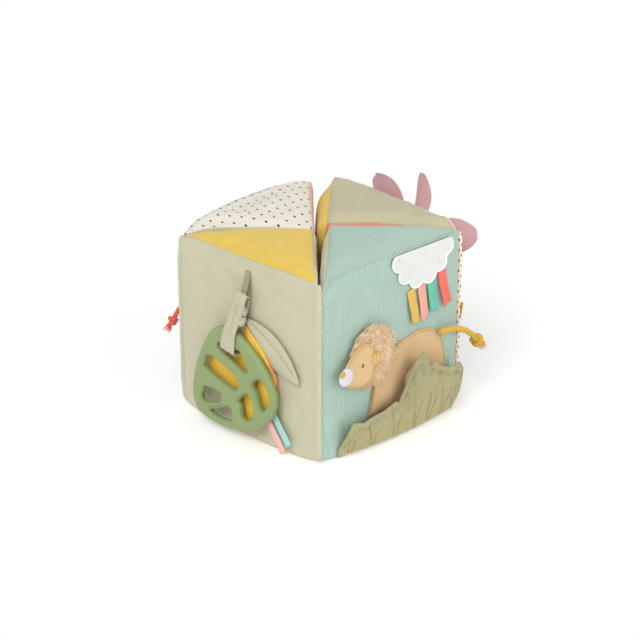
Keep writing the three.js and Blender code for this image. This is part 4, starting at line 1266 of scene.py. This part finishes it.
def build_loop(sizes, colours):
    """The ribbon loop that the strap hangs in."""
    x = 5.6
    points = [(x, y, z) for y, z in (
        (139.5, 2.7), (136.0, 3.6), (129.0, 6.2), (121.5, 8.6), (116.4, 11.0), (113.6, 10.5), (113.4, 8.8),
        (116.6, 7.4), (122.0, 6.0), (130.0, 4.0), (137.5, 2.5))]
    line = evenly(smooth_line(points, 8), 60)
    bm = band(bmesh.new(), line, lambda v: 5.3 + 0.4 * (1 - abs(2 * v - 1)) ** 0.5, (1, 0, 0), 0.7, 6,
              lambda u, v: 0.35 * (2 * u - 1) ** 2)
    look = satin("Olive ribbon", shade(colours.olive, 0.86))
    place("leaf_hanging_loop", bm, face_frame("leaf", sizes), look, "leaf_wedge", "olive")


STRAP_PATH = (
    (4.4, 118.5, 7.4), (1.6, 112, 7.0), (-2.6, 102, 6.4), (-5.6, 92, 6.2), (-7.0, 80, 6.0), (-6.8, 74.4, 6.6),
    (-6.5, 72.6, 10.3), (-6.5, 74.0, 14.2), (-5.9, 80, 14.9), (-3.8, 90, 15.0), (-0.2, 101, 13.8),
    (3.4, 111, 12.8), (5.8, 119, 12.4), (6.6, 123.4, 10.6), (6.2, 120.8, 8.6))


def build_strap(sizes, colours):
    """The strap: folded over in the loop, wound once, and down through the teether's slot."""

    def folds(u, v):
        return 0.5 * math.sin(u * 4.6 * math.pi + v * 5.0) * min(1.0, abs(v - 0.40) * 6)

    def wide(v):
        narrowed = 3.4 * max(0.0, (v - 0.62) / 0.38) ** 0.8 + 2.4 * near(v, 0.2, 1)
        return 14.6 - narrowed - 1.6 * bell(v - 0.66, 0.1)

    bm = band(bmesh.new(), evenly(smooth_line(STRAP_PATH, 8), 96), wide, (0.99, -0.14, 0), 0.9, 16, folds)
    wrap(bm, (0.7, 102.6, 10.4), 7.3, 4.9, 9.0, -14)
    wrap(bm, (2.9, 109.4, 10.2), 6.9, 4.4, 7.0, 4)
    look = woven("Strap cotton", shade(colours.sage, 0.93), crease=0.3)
    place("teether_strap", bm, face_frame("leaf", sizes), look, "teether_strap", "sage")


def wrap(bm, middle, half, depth, tall, tilt):
    """A flat band wound once round the strap, tilted to one side."""
    slope = math.tan(math.radians(tilt))
    line = []
    for k in range(41):
        angle = 2 * math.pi * k / 40 + math.pi / 2
        across = half * math.copysign(abs(math.cos(angle)) ** 0.8, math.cos(angle))
        line.append(Vector(middle) + Vector((across, across * slope, depth * math.sin(angle))))
    band(bm, line, tall, (-slope, 1, 0), 0.8, 12,
         lambda u, v: 0.3 * math.sin(u * 3.2 * math.pi + 4 * v) - 1.1 * (2 * u - 1) ** 4)


TEETHER_OUTLINE = (
    (-9, 92), (9.5, 85.5), (29, 70), (41.5, 50), (37, 30.5), (18, 13), (-5.5, 6), (-30.5, 6),
    (-45.5, 12), (-49, 29.5), (-42, 57.5), (-27.5, 83.5))
# The slots between the veins, and last the slot that the strap goes through
TEETHER_SLOTS = (
    ((-33, 59.5), (-28, 61.5), (-23, 61), (0.5, 52), (1, 44.5), (-6, 41), (-33.5, 48.5), (-35, 53)),
    ((-37.5, 28), (-34, 33.5), (-20, 33.5), (-17, 31.5), (-20, 25), (-38.5, 20)),
    ((-30.5, 13.5), (-19, 19.5), (-8, 24.5), (-6, 14.5), (-17, 11.5)),
    ((10.5, 42), (16, 38), (17, 24.5), (6, 19), (4, 29), (1.5, 33)),
    ((24.5, 59), (31, 55.5), (35, 47), (33.5, 40), (26, 33), (21.5, 45), (17, 52)),
    ((-19, 75.5), (-13, 75.5), (-3.5, 74), (4.5, 75.5), (12, 65.5), (9, 59.5), (-6, 65), (-19, 70.5)))


def build_teether(sizes, colours):
    """A leaf of moulded silicone with rounded edges and slots for its veins."""
    outline = smooth_loop(TEETHER_OUTLINE, 8)
    holes = [smooth_loop(slot, 4) for slot in TEETHER_SLOTS]
    middle, half, roll = 10.3, 3.5, 3.2

    def above(x, y, d):
        return middle + half * math.sqrt(1 - (1 - min(1.0, d / roll)) ** 2)

    bm = cut_sheet(outline, 3.0, holes, (0.35, 0.6, 0.9, 1.3))
    thicken(bm, above, lambda x, y, d: 2 * middle - above(x, y, d), outline_distance([outline, *holes]))
    bmesh.ops.remove_doubles(bm, verts=bm.verts, dist=1e-3)
    look = moulded("Silicone", colours.teether, 0.5)
    place("silicone_teether", bm, face_frame("leaf", sizes), look, "teether", "teether")


CRINKLE_OUTLINE = (
    (-3, 98.5), (6.5, 94), (14, 89), (21, 83), (26.5, 77), (31.5, 69), (34, 60), (34.5, 48), (33, 36),
    (28.5, 25), (22.5, 17.5), (12, 12), (-2, 12), (-13, 16), (-24, 26), (-34, 40), (-39, 51), (-34, 62),
    (-22, 78), (-12, 91))
# Each tag: its colour, its root, which way it points and its length
TAGS = (("aqua_ribbon_tag", "sky", (31, 34), 217.4, 31),
        ("pink_ribbon_tag", "pink", (26.4, 25.5), 216.5, 29))


def crinkle_rise(x, y):
    """How far the crinkling leaf lifts over the padded leaf beside it."""
    over_leaf = within(((x - 4.6) * 0.555 + (y - 99.6) * 0.832 + 16) / 6)
    return 3.0 * over_leaf * within((x - 2) / 8)


def build_crinkle_leaf(sizes, colours):
    """The crinkling leaf behind the teether, its backing and its two ribbon tags."""
    to_row, body = face_frame("leaf", sizes), "crinkle_leaf"
    outline = smooth_loop(CRINKLE_OUTLINE, 5)

    def under(x, y, d):
        return 3.4 + crinkle_rise(x, y) + 0.3 * ripple(x * 0.09, y * 0.09, 1)

    def over(x, y, d):
        crinkle = 0.35 * abs(ripple(x * 0.13, y * 0.16, 6))
        return under(x, y, d) + 0.5 + 0.6 * filling(d, 2.2) + crinkle - 0.35 * bell(d - 2.6, 0.7)

    bm, _ = cloth_patch(outline, 3.2, (0.6, 1.4), over, under)
    # The crinkle leaf's colour is brighter than its real cloth: painted light against the teether's shade.
    look = woven("Crinkle mustard", colours.crinkle, crease=0.6, streak=0.3)
    front = place("crinkle_leaf", bm, to_row, look, body, "mustard")
    wider = inset_loop(outline, -1.3)
    bm, _ = cloth_patch(wider, 4.0, (0.5,), lambda x, y, d: 2.9 + crinkle_rise(x, y) + 0.1 * min(1.0, d),
                        lambda x, y, d: 2.3 + crinkle_rise(x, y))
    back = place("crinkle_leaf_backing", bm, to_row, woven("Crinkle coral", colours.coral), body, "coral")
    line = [(x, y, over(x, y, 2.6) + 0.15) for x, y in inset_loop(outline, 2.6)]
    bm = stitches(bmesh.new(), [*line, line[0]], "crinkle leaf")
    threads = place("crinkle_leaf_stitching", bm, to_row, thread("Gold thread", colours.gold), body)
    for name, colour, root, turn, long in TAGS:
        line = [(0.5 * math.sin(k / 5), long * k / 24, 0.2 + 2.0 * max(0, k / 24 - 0.3) ** 1.5)
                for k in range(25)]
        bm = band(bmesh.new(), line, 7.3, (1, 0, 0), 0.5, 6, lambda u, v: 0.3 * math.cos(u * math.pi))
        look = satin(f"{colour} ribbon", getattr(colours, colour))
        place(name, bm, to_row @ in_frame(*root, 5.4, turn), look, body, colour)
    loop_area(outline)
    loop_area(wider)


def build_padded_leaf(sizes, colours):
    """A padded leaf with a stitched vein, tucked behind the teether's right side."""
    long, wide, half_thick = 65, 26, 2.35

    def half_at(share):
        return leaf_half(wide, share, 0.95, 0.7)

    def at(u, v):
        angle = 2 * math.pi * u
        aside, out = math.cos(angle), math.sin(angle)
        half = half_at(v) * math.sin(math.pi * within(0.02 + 0.96 * v)) ** 0.12
        vein = 0.9 * bell(aside + 0.45, 0.16) if out > 0 else 0
        pucker = 0.3 * ripple(aside * 1.5, v * 16, 3)
        thick = half_thick * (half / wide * 2) ** 0.55 - vein + pucker
        tucked = 1 - 0.5 * max(0.0, aside - 0.2)
        return Vector((half * aside, long * v, (half_thick + thick * out) * tucked))

    bm = bmesh.new()
    verts, _ = mapped_grid(bm, 32, 36, at, lambda u, v: (u * 40, v * long))
    close_ends(bm, verts)
    to_face = face_frame("leaf", sizes) @ in_frame(4.8, 99.8, SKIN, 236.3)
    look = woven("Padded sage", shade(colours.sage, 0.96), crease=0.5)
    subdivided(place("padded_leaf", bm, to_face, look, "padded_leaf", "sage"))
    vein_line = [(-0.45 * half_at(y / long) + 0.2 * math.sin(y), y, 4.0) for y in range(5, long - 6, 2)]
    bm = stitches(bmesh.new(), vein_line, "vein")
    look = thread("Vein thread", shade(colours.sage, 0.45))
    place("padded_leaf_stitching", bm, to_face, look, "padded_leaf")


# Lion face

# Each ribbon: its colour, its slot, its place across, its top, how far it drifts aside, and its end
CLOUD_RIBBONS = (
    ("ribbon_gold", "gold", 17.4, 116.8, 5.6, 89), ("ribbon_coral", "coral", 28.2, 117.7, 4.2, 90.5),
    ("teal", "teal", 38.8, 116.8, 3.6, 93), ("red", "red", 50.6, 123.5, 6.2, 95))
CLOUD_MARKS = ((16.5, 124.5, -30), (47.5, 133.0, 25), (4.0, 145.8, 60))


def cloud_outline():
    """Six lobes below a straight top edge."""
    middle, top, half_width, height = 30, 149.19, 34, 33
    points = []
    for i in range(61):
        angle = math.pi + math.pi * i / 60
        lobe = 0.88 + 0.12 * abs(math.sin(6 * angle))
        points.append((middle + half_width * math.cos(angle) * lobe, top + height * math.sin(angle) * lobe))
    return points


def build_cloud(sizes, colours):
    """A felt cloud with a satin border and four ribbons below it."""
    to_row, body = face_frame("lion", sizes), "lion_wedge"
    outline = cloud_outline()
    bm, _ = cloth_patch(outline, 3.0, (0.6, 1.0), *pad(1.2, edge=0.5, roll=1.5, wave=0.25, seed=5.0))
    place("cloud_patch", bm, to_row, felt("White felt", shade(colours.white, 0.9)), body, "white")
    border = [Vector((x, y, 3.3)) for x, y in inset_loop(outline, 0.9)]
    bm = tube(bmesh.new(), evenly(border, 160), 0.85, 8)
    place("cloud_border", bm, to_row, thread("White border", colours.white), body)
    bm = bmesh.new()
    for x, y, turn in CLOUD_MARKS:
        end = (x + 1.4 * math.sin(math.radians(turn)), y - 1.6, 3.65)
        stitches(bm, [(x, y, 3.65), end], "cloud mark")
    place("cloud_marks", bm, to_row, thread("Cloud marks", colours.ink), body)
    for i, (colour, slot, x, top, drift, end) in enumerate(CLOUD_RIBBONS):
        start = top + 1.0
        line = [(x + drift * (k / 20) ** 1.6 + 0.5 * math.sin(k / 6 + i), start - (start - end) * k / 20,
                 2.5 + 2.2 * math.sin(math.pi * k / 30)) for k in range(21)]
        bm = band(bmesh.new(), line, 8.0, (1, 0.06 * drift, 0), 0.5, 8,
                  lambda u, v: 0.6 * math.cos(u * 2 * math.pi + i) * v)
        for vert in bm.verts:
            # the end is cut aslant
            aslant = 0.2 * (vert.co.x - x - drift) * (1 if i % 2 else -1)
            vert.co.y += near(vert.co.y - end, 3, 1) * aslant
        name = f"cloud_ribbon_{i + 1}"
        place(name, bm, to_row, satin(f"{slot} satin", getattr(colours, colour)), name, slot)


MANE_MIDDLE = Vector((-25, 77))
MANE_TALL = 1.08  # the mane's height, in widths
BODY_RUMP, BODY_FOOT = 57.0, 23.9
# The body's back from neck to tail, in shares of its length and height
LION_BACK = (
    (-0.96, 0.44), (-0.92, 0.64), (-0.82, 0.81), (-0.65, 0.93), (-0.51, 0.975), (-0.36, 1), (-0.23, 0.98),
    (-0.12, 0.93), (-0.05, 0.81), (-0.01, 0.62), (0, 0.44))
# The face's outline round the mane's middle, in shares of its length and height
LION_PROFILE = (
    (-0.09, 0.32), (-0.45, 0.41), (-0.76, 0.21), (-1, -0.12), (-0.91, -0.44), (-0.45, -0.59),
    (-0.12, -0.47), (-0.03, -0.09))


def ragged(angle):
    """How uneven the mane's edge is in a direction."""
    return 1.3 * ripple(3.4 * math.cos(angle), 3.4 * math.sin(angle), 7)


def mane_point(angle, radius):
    return (MANE_MIDDLE.x + radius * math.cos(angle), MANE_MIDDLE.y + MANE_TALL * radius * math.sin(angle))


def tufts(bm, pile, distance, count, draws):
    """Short bent locks of pile that stand outwards from the middle of the mane."""
    made = 0
    while made < count:
        angle, radius = draws.uniform(0, 2 * math.pi), 25.5 * math.sqrt(draws.uniform(0.03, 1))
        if radius > 24.0 + ragged(angle):
            continue
        x, y = mane_point(angle, radius)
        swirl = angle + 1.4 * ripple(x * 0.12, y * 0.12, 9) + draws.uniform(-0.4, 0.4)
        away = Vector((math.cos(swirl), math.sin(swirl), 0))
        long, thick = draws.uniform(1.5, 2.6), draws.uniform(0.38, 0.55)
        foot = Vector((x, y, pile(x, y, distance(x, y)) - 0.5))
        bend = foot + away * long * 0.4 + Vector((0, 0, draws.uniform(0.7, 1.1)))
        tip = foot + away * long + Vector((0, 0, draws.uniform(0.8, 1.4)))
        tube(bm, evenly(smooth_line([foot, bend, tip], 3), 4), thick, 5, shrink=lambda v: 1.0 - 0.7 * v * v)
        made += 1
    return bm


def build_lion(sizes, colours):
    """The lion: body, mane, face and muzzle, with their stitching."""
    to_row = face_frame("lion", sizes)
    looks = {
        "body": woven("Tan cotton", colours.tan, crease=0.6, slub=0.07),
        "gold": thread("Gold stitching", colours.gold),
        "pale": woven("Pale tan cotton", shade(colours.tan, 1.04), crease=0.4, slub=0.07),
    }
    for build in (lion_body, lion_mane, lion_face, lion_muzzle):
        build(to_row, looks, colours)


def lion_body(to_row, looks, colours):
    """The body's patch with gold stitches along its edge and rust ones on its legs."""
    back = smooth_line([Vector((BODY_RUMP + 84 * x, 81 * y, 0)) for x, y in LION_BACK], 3)
    outline = [(BODY_RUMP - 84, BODY_FOOT), *[(p.x, p.y) for p in back], (BODY_RUMP, BODY_FOOT)]
    bm, _ = cloth_patch(outline, 3.5, (0.7,), *pad(2.3, edge=0.6, roll=2.6, wave=0.7, seed=2.0))
    place("lion_body_patch", bm, to_row, looks["body"], "lion_wedge", "tan")
    line = [(x, y, 4.0) for x, y in inset_loop(outline, 1.0)][1:-1]
    bm = stitches(bmesh.new(), line, "body")
    place("lion_body_stitching", bm, to_row, looks["gold"], "lion_wedge")
    leg = [(BODY_RUMP - 83.2 + 0.5 * k, BODY_FOOT + 2 + 2.4 * k, 4.3) for k in range(11)]
    inner = [(BODY_RUMP - 61 - 0.3 * k, BODY_FOOT + 1 + 2.2 * k, 4.7) for k in range(6)]
    bm = stitches(bmesh.new(), leg, "leg")
    stitches(bm, inner, "inner leg")
    rust = thread("Rust stitching", shade(colours.coral, 0.62))
    place("lion_leg_stitching", bm, to_row, rust, "lion_wedge")


def lion_mane(to_row, looks, colours):
    """A lumpy patch of plush with tufts."""
    base = 4.6
    edge = []
    for k in range(132):
        angle = 2 * math.pi * k / 132
        edge.append(mane_point(angle, 23.0 + 0.3 * math.cos(9 * angle) + ragged(angle)))

    def pile(x, y, d):
        lump = (ripple(x * 0.17, y * 0.17, 4) * 1.1
                + ripple(x * 0.4, y * 0.4, 2) * 0.6)
        return base + 0.6 + 2.4 * filling(d, 2.6) + lump * min(1.0, d / 3)

    bm, distance = cloth_patch(edge, 1.8, (0.5, 0.8), pile, lambda x, y, d: base)
    tufts(bm, pile, distance, 1100, random.Random(11))
    place("lion_mane", bm, to_row, plush("Plush", colours.plush), "lion_wedge", "plush")


def lion_face(to_row, looks, colours):
    """The face's patch with its stitching, and the ear that stands on it."""
    x, y = MANE_MIDDLE
    profile = smooth_loop([(x + 33 * right, y + 34 * up) for right, up in LION_PROFILE], 6)
    bm, _ = cloth_patch(profile, 2.2, (0.6,), *pad(2.7, edge=1.0, roll=2.2, wave=0.5, seed=8.0, base=7.9))
    place("lion_face_patch", bm, to_row, looks["pale"], "lion_wedge", "tan")
    bm = closed_stitches(profile, 0.6, 10.1, "face")
    ear_x = x - 0.6
    ear = [(ear_x + 4.4 * math.cos(a), y - 0.2 + 5.6 * math.sin(a), 10.5)
           for a in (math.radians(v) for v in range(-70, 231, 20))]
    stitches(bm, ear, "ear")
    stitches(bm, [(ear_x, y + 4.6, 10.7), (x - 1.0, y - 3.8, 10.7)], "ear fold")
    place("lion_face_stitching", bm, to_row, looks["gold"], "lion_wedge")
    middle = Vector((ear_x, y, 9.6))
    bm = ball(middle, (4.2, 5.4, 1.3), 24, 12)
    for vert in bm.verts:
        if vert.co.z > middle.z:
            vert.co.z -= 0.6 * near((vert.co.xy - middle.xy).length, 3.2, 1)
    place("lion_ear", bm, to_row, looks["pale"], "lion_wedge")


def lion_muzzle(to_row, looks, colours):
    """The felt muzzle, the stitched eye and the stitched nose."""
    bm = ball((-56.1, 70.9, 9.5), (7.2, 7.4, 2.0), 32, 18)
    for vert in bm.verts:
        vert.co.z = max(9.4, vert.co.z) + (0.25 * noise.noise(vert.co * 0.35) if vert.co.z > 9.6 else 0)
    bmesh.ops.remove_doubles(bm, verts=bm.verts, dist=1e-4)
    lilac = [part * tint for part, tint in zip(shade(colours.white, 0.86), (0.97, 0.94, 1.06))]
    place("lion_muzzle_patch", bm, to_row, felt("Muzzle felt", lilac), "lion_wedge", "white")
    bm = stitches(bmesh.new(), [(-40.4, 74.6, 10.7), (-38.9, 78.4, 10.7)], "eye")
    place("lion_eye", bm, to_row, thread("Eye thread", colours.ink), "lion_wedge")
    bm = bmesh.new()
    for k in range(5):
        x = -62.4 + 0.95 * k
        row = [(x, 74.2 - 0.5 * k, 10.9), (x + 1.6, 80.0 - 0.7 * abs(k - 2), 10.5)]
        stitches(bm, row, "nose")
    place("lion_nose", bm, to_row, looks["gold"], "lion_wedge")


# The grass flap's outline, in shares of its length and height
GRASS_OUTLINE = (
    (0, 0), (0.976, 0), (1, 0.33), (0.985, 0.6), (0.955, 0.69), (0.9, 0.66), (0.85, 0.70), (0.79, 0.74),
    (0.72, 0.85), (0.66, 0.82), (0.615, 1.0), (0.58, 1.1), (0.54, 0.98), (0.472, 0.75), (0.428, 0.49),
    (0.405, 0.535), (0.30, 0.49), (0.2, 0.44), (0.146, 0.42), (0.109, 0.445), (0.053, 0.477), (0.024, 0.306),
    (-0.008, 0.12))
# Each blade: where its root and its tip are across the flap, and its height
GRASS_BLADES = (
    (-49, -53, 16), (-46, -43, 11), (-27, -33, 20), (-24, -20, 13), (-4, -9, 25), (0, 4, 17), (17, 14, 33),
    (19, 24, 24), (33, 31, 30), (36, 42, 20), (49, 47, 26), (52, 58, 24), (63, 62, 18))
HEM = 6.4  # from the flap's edge to the stitches of its hem


def grass_under(x, y, d):
    """The back of the flap: folds and sharper creases that grow from the seam up, and a belly low down."""
    rise = min(1.0, y / 26) ** 1.4
    folds = (ripple(x * 0.085, y * 0.03, 2) * 3.0
             + ripple(x * 0.22, y * 0.09, 5) * 1.5)
    slant = Vector((x * 0.09 + y * 0.035, y * 0.022, 8))
    crisp = near(abs(noise.noise(slant)), 1 / 2.2) * 2.6
    curl = 1.6 * near(d, 7) * rise
    belly = 5.5 * (1 - ((x - 6) / 66) ** 2) * near(y, 50, 1)
    return rise * (1.5 + folds * 0.9 + crisp) + curl + max(0.0, belly)


def grass_over(x, y, d):
    """The front: the turned-over edge stands up from the flap, with a stitched groove below it."""
    hem = 1.6 * bell(d - 2.8, 2.1) - 1.1 * bell(d - HEM, 1.1) if y >= 9 else 0.0
    return grass_under(x, y, d) + 1.4 + 0.6 * filling(d, 1.2) + hem


def build_grass(sizes, colours):
    """The grass flap: a sheet sewn at its foot and leaning out, with a turned-over top edge and blades."""
    to_row = face_frame("lion", sizes) @ Matrix.Translation((0, 1.2, 0.6)) @ turned(10, "X")
    outline = [(-57 + 127 * x, 66 * y) for x, y in GRASS_OUTLINE]
    bm, distance = cloth_patch(outline, 2.2, (0.7, 1.2), grass_over, grass_under)
    look = woven("Grass cotton", colours.grass, crease=1.0, slub=0.08)
    flap = place("grass_flap", bm, to_row, look, "grass_flap", "grass")
    bm = bmesh.new()
    for root, tip, tall in GRASS_BLADES:
        line = [(root + (tip - root) * (k / 10) ** 1.7, 3 + tall * k / 10) for k in range(11)]
        line = [(x, y, grass_over(x, y, distance(x, y)) + 0.1) for x, y in line]
        stitches(bm, line, "blade")
    look = thread("Blade thread", shade(colours.gold, 0.6))
    threads = place("grass_stitching", bm, to_row, look, "grass_flap")
    bm = bmesh.new()
    edge = [(x, y) for x, y in evenly_flat(inset_loop(outline, HEM), 130) if y > 8 and distance(x, y) > 4.5]
    for pair in zip(edge, edge[1:]):
        if math.dist(*pair) < 4:
            stitches(bm, [(x, y, grass_over(x, y, HEM) + 0.25) for x, y in pair], "hem")
    look = thread("Hem thread", shade(colours.grass, 0.42))
    seam = place("grass_hem_stitching", bm, to_row, look, "grass_flap")
    loop_area(outline)
    # each of the flap's pieces gets a mesh of its own
    for soft in (flap, threads, seam):
        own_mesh(soft)


# Flower face

FLOWER = (-18, 126)  # the flower's middle on its face
# Each petal: length, width, how far its sides curl up, how far its tip turns up, its turn to the side, and
# how steeply it stands out in degrees
PETALS = (
    (45, 16, 5.0, -9.0, 4, 21), (56, 31, 2.0, -6.0, -7, 18), (48, 26, 2.0, 0.0, 0, 21),
    (48, 26, 2.0, 0.0, 0, 21), (48, 29, 2.5, 7.0, 2, 21))


def build_flower(sizes, colours):
    """Five brushed petals round a button, and the leaf on the flower's stem."""
    look = felt("Mauve brushed cotton", colours.mauve, 0.5)
    to_row = face_frame("flower", sizes)
    for i, (long, wide, curl, rise, turn, lift) in enumerate(PETALS):

        def cup(side, share):
            arc = math.sin(math.pi * share)
            wave = 0.5 * ripple(side * 1.6, share * 4, i)
            return (curl * side * side - 0.5 * bell(side, 0.12)) * arc + rise * share * share + wave * share

        bm = leaf(long, wide, 1.7, cup, rows=40, columns=18, belly=1.25, blunt=0.6)
        to_root = to_row @ in_frame(*FLOWER, SKIN, 8 - 72 * i) @ in_frame(0, 8.0, 0, -turn)
        name = f"petal_{i + 1}"
        petal = place(name, bm, to_root @ turned(lift, "X"), look, name, "mauve")
    bm = ball((*FLOWER, 2.5), (6.3, 6.3, 4.6), 28, 14)
    for vert in bm.verts:
        vert.co.z = max(SKIN, vert.co.z)
    bmesh.ops.remove_doubles(bm, verts=bm.verts, dist=1e-4)
    place("flower_button", bm, to_row, felt("Button felt", colours.mustard), "flower_wedge", "mustard")
    bm = leaf(41, 15, 1.5, lambda side, share: side * side + 3.0 * share ** 1.2, rows=22, columns=10)
    look = woven("Stem gold", colours.gold)
    stem = place("stem_leaf", bm, to_row @ in_frame(-53.5, 50, SKIN, 28), look, "stem_leaf", "gold")


# Elephant face

# The elephant's outline, in shares of its length and height
ELEPHANT = (
    (-0.02, 0), (0, 0.52), (-0.08, 0.81), (-0.21, 0.95), (-0.39, 0.97), (-0.54, 0.95), (-0.68, 1),
    (-0.8, 0.92), (-0.88, 0.71), (-0.94, 0.44), (-1, 0.25), (-0.955, 0.18), (-0.88, 0.27),
    (-0.83, 0.44), (-0.77, 0.41), (-0.75, 0), (-0.59, 0), (-0.57, 0.25), (-0.3, 0.25), (-0.29, 0))


def build_elephant(sizes, colours):
    """An elephant patch with one ear that lifts."""
    to_row = face_frame("elephant", sizes)
    outline = [(52 + 112 * x, 20 + 73 * y) for x, y in ELEPHANT]
    bm, _ = cloth_patch(outline, 4.0, (0.7,), *pad(1.9, edge=0.6, roll=2.0, wave=0.3, seed=3.0))
    look = felt("Grey brushed cotton", colours.grey)
    place("elephant_patch", bm, to_row, look, "elephant_wedge", "grey")
    bm = closed_stitches(outline, 1.8, 4.2, "elephant")
    place("elephant_stitching", bm, to_row, thread("Elephant thread", colours.ecru), "elephant_wedge")
    bm = leaf(30, 24, 1.5, lambda side, share: 0.8 * side * side, rows=18, columns=12)
    look = felt("Ear cloth", colours.pink)
    ear = place("elephant_ear", bm, to_row @ in_frame(-14, 86, 4.8, 180), look, "elephant_ear", "pink")


def build_sound_makers(sizes, colours):
    """The rattle and the squeaker keep their CAD shapes and get a moulded plastic."""
    look = moulded("Moulded plastic", colours.white, 0.4)
    for name in ("rattle_capsule", "squeaker"):
        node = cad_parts[name]
        node.data.materials.clear()
        node.data.materials.append(look)


# Operators, panel and registration


def operator(name, label, text, build):
    """An operator class for one piece or one group of like pieces."""

    def execute(self, context):
        build(context.scene.cube_sizes, context.scene.cube_colours)
        return {"FINISHED"}

    members = {"__doc__": text, "bl_idname": f"cube.{name}", "bl_label": label, "bl_description": text,
               "bl_options": {"REGISTER", "UNDO"}, "execute": execute}
    return type(f"CUBE_OT_{name}", (bpy.types.Operator,), members)


OPERATORS = (
    operator("stage", "Stage", "Camera, lights, floor and background", build_stage),
    operator("tails", "Cord tails", "Twisted cords with knots", build_tails),
    operator("wedges", "Wedges", "Covers and stuffing of the four wedges", build_wedges),
    operator("hinges", "Hinges", "Rolled cloth strips on three edges", build_hinges),
    operator("loop", "Hanging loop", "Ribbon loop on the leaf face", build_loop),
    operator("strap", "Strap", "Knotted strap that holds the teether", build_strap),
    operator("teether", "Teether", "Silicone leaf", build_teether),
    operator("crinkle_leaf", "Crinkle leaf", "Crinkling leaf, backing and tags", build_crinkle_leaf),
    operator("padded_leaf", "Padded leaf", "Padded leaf with a stitched vein", build_padded_leaf),
    operator("cloud", "Cloud", "Cloud patch and four ribbons", build_cloud),
    operator("lion", "Lion", "Body, mane, face and muzzle", build_lion),
    operator("grass", "Grass", "Grass flap with stitched blades", build_grass),
    operator("flower", "Flower", "Petals, button and stem leaf", build_flower),
    operator("elephant", "Elephant", "Elephant patch and ear", build_elephant),
    operator("sound_makers", "Sound makers", "Rattle and squeaker", build_sound_makers),
)


class CUBE_PT_pieces(bpy.types.Panel):
    """Lists the operators and the sizes and colours they use"""

    bl_idname = "CUBE_PT_pieces"
    bl_label = "Activity cube"
    bl_space_type = "VIEW_3D"
    bl_region_type = "UI"
    bl_category = "Activity cube"

    def draw(self, context):
        for made in OPERATORS:
            self.layout.operator(made.bl_idname)
        for group in (context.scene.cube_sizes, context.scene.cube_colours):
            box = self.layout.box()
            for name in group.__annotations__:
                box.prop(group, name)


CLASSES = (CubeSizes, CubeColours, *OPERATORS, CUBE_PT_pieces)


def register():
    for made in CLASSES:
        bpy.utils.register_class(made)
    bpy.types.Scene.cube_sizes = bpy.props.PointerProperty(type=CubeSizes)
    bpy.types.Scene.cube_colours = bpy.props.PointerProperty(type=CubeColours)


def unregister():
    del bpy.types.Scene.cube_colours
    del bpy.types.Scene.cube_sizes
    for made in reversed(CLASSES):
        bpy.utils.unregister_class(made)


def main():
    register()
    for made in OPERATORS:
        name = made.bl_idname.split(".")[1]
        if getattr(bpy.ops.cube, name)() != {"FINISHED"}:
            raise RuntimeError(f"{made.bl_label} was not finished")


if __name__ == "__main__":
    main()
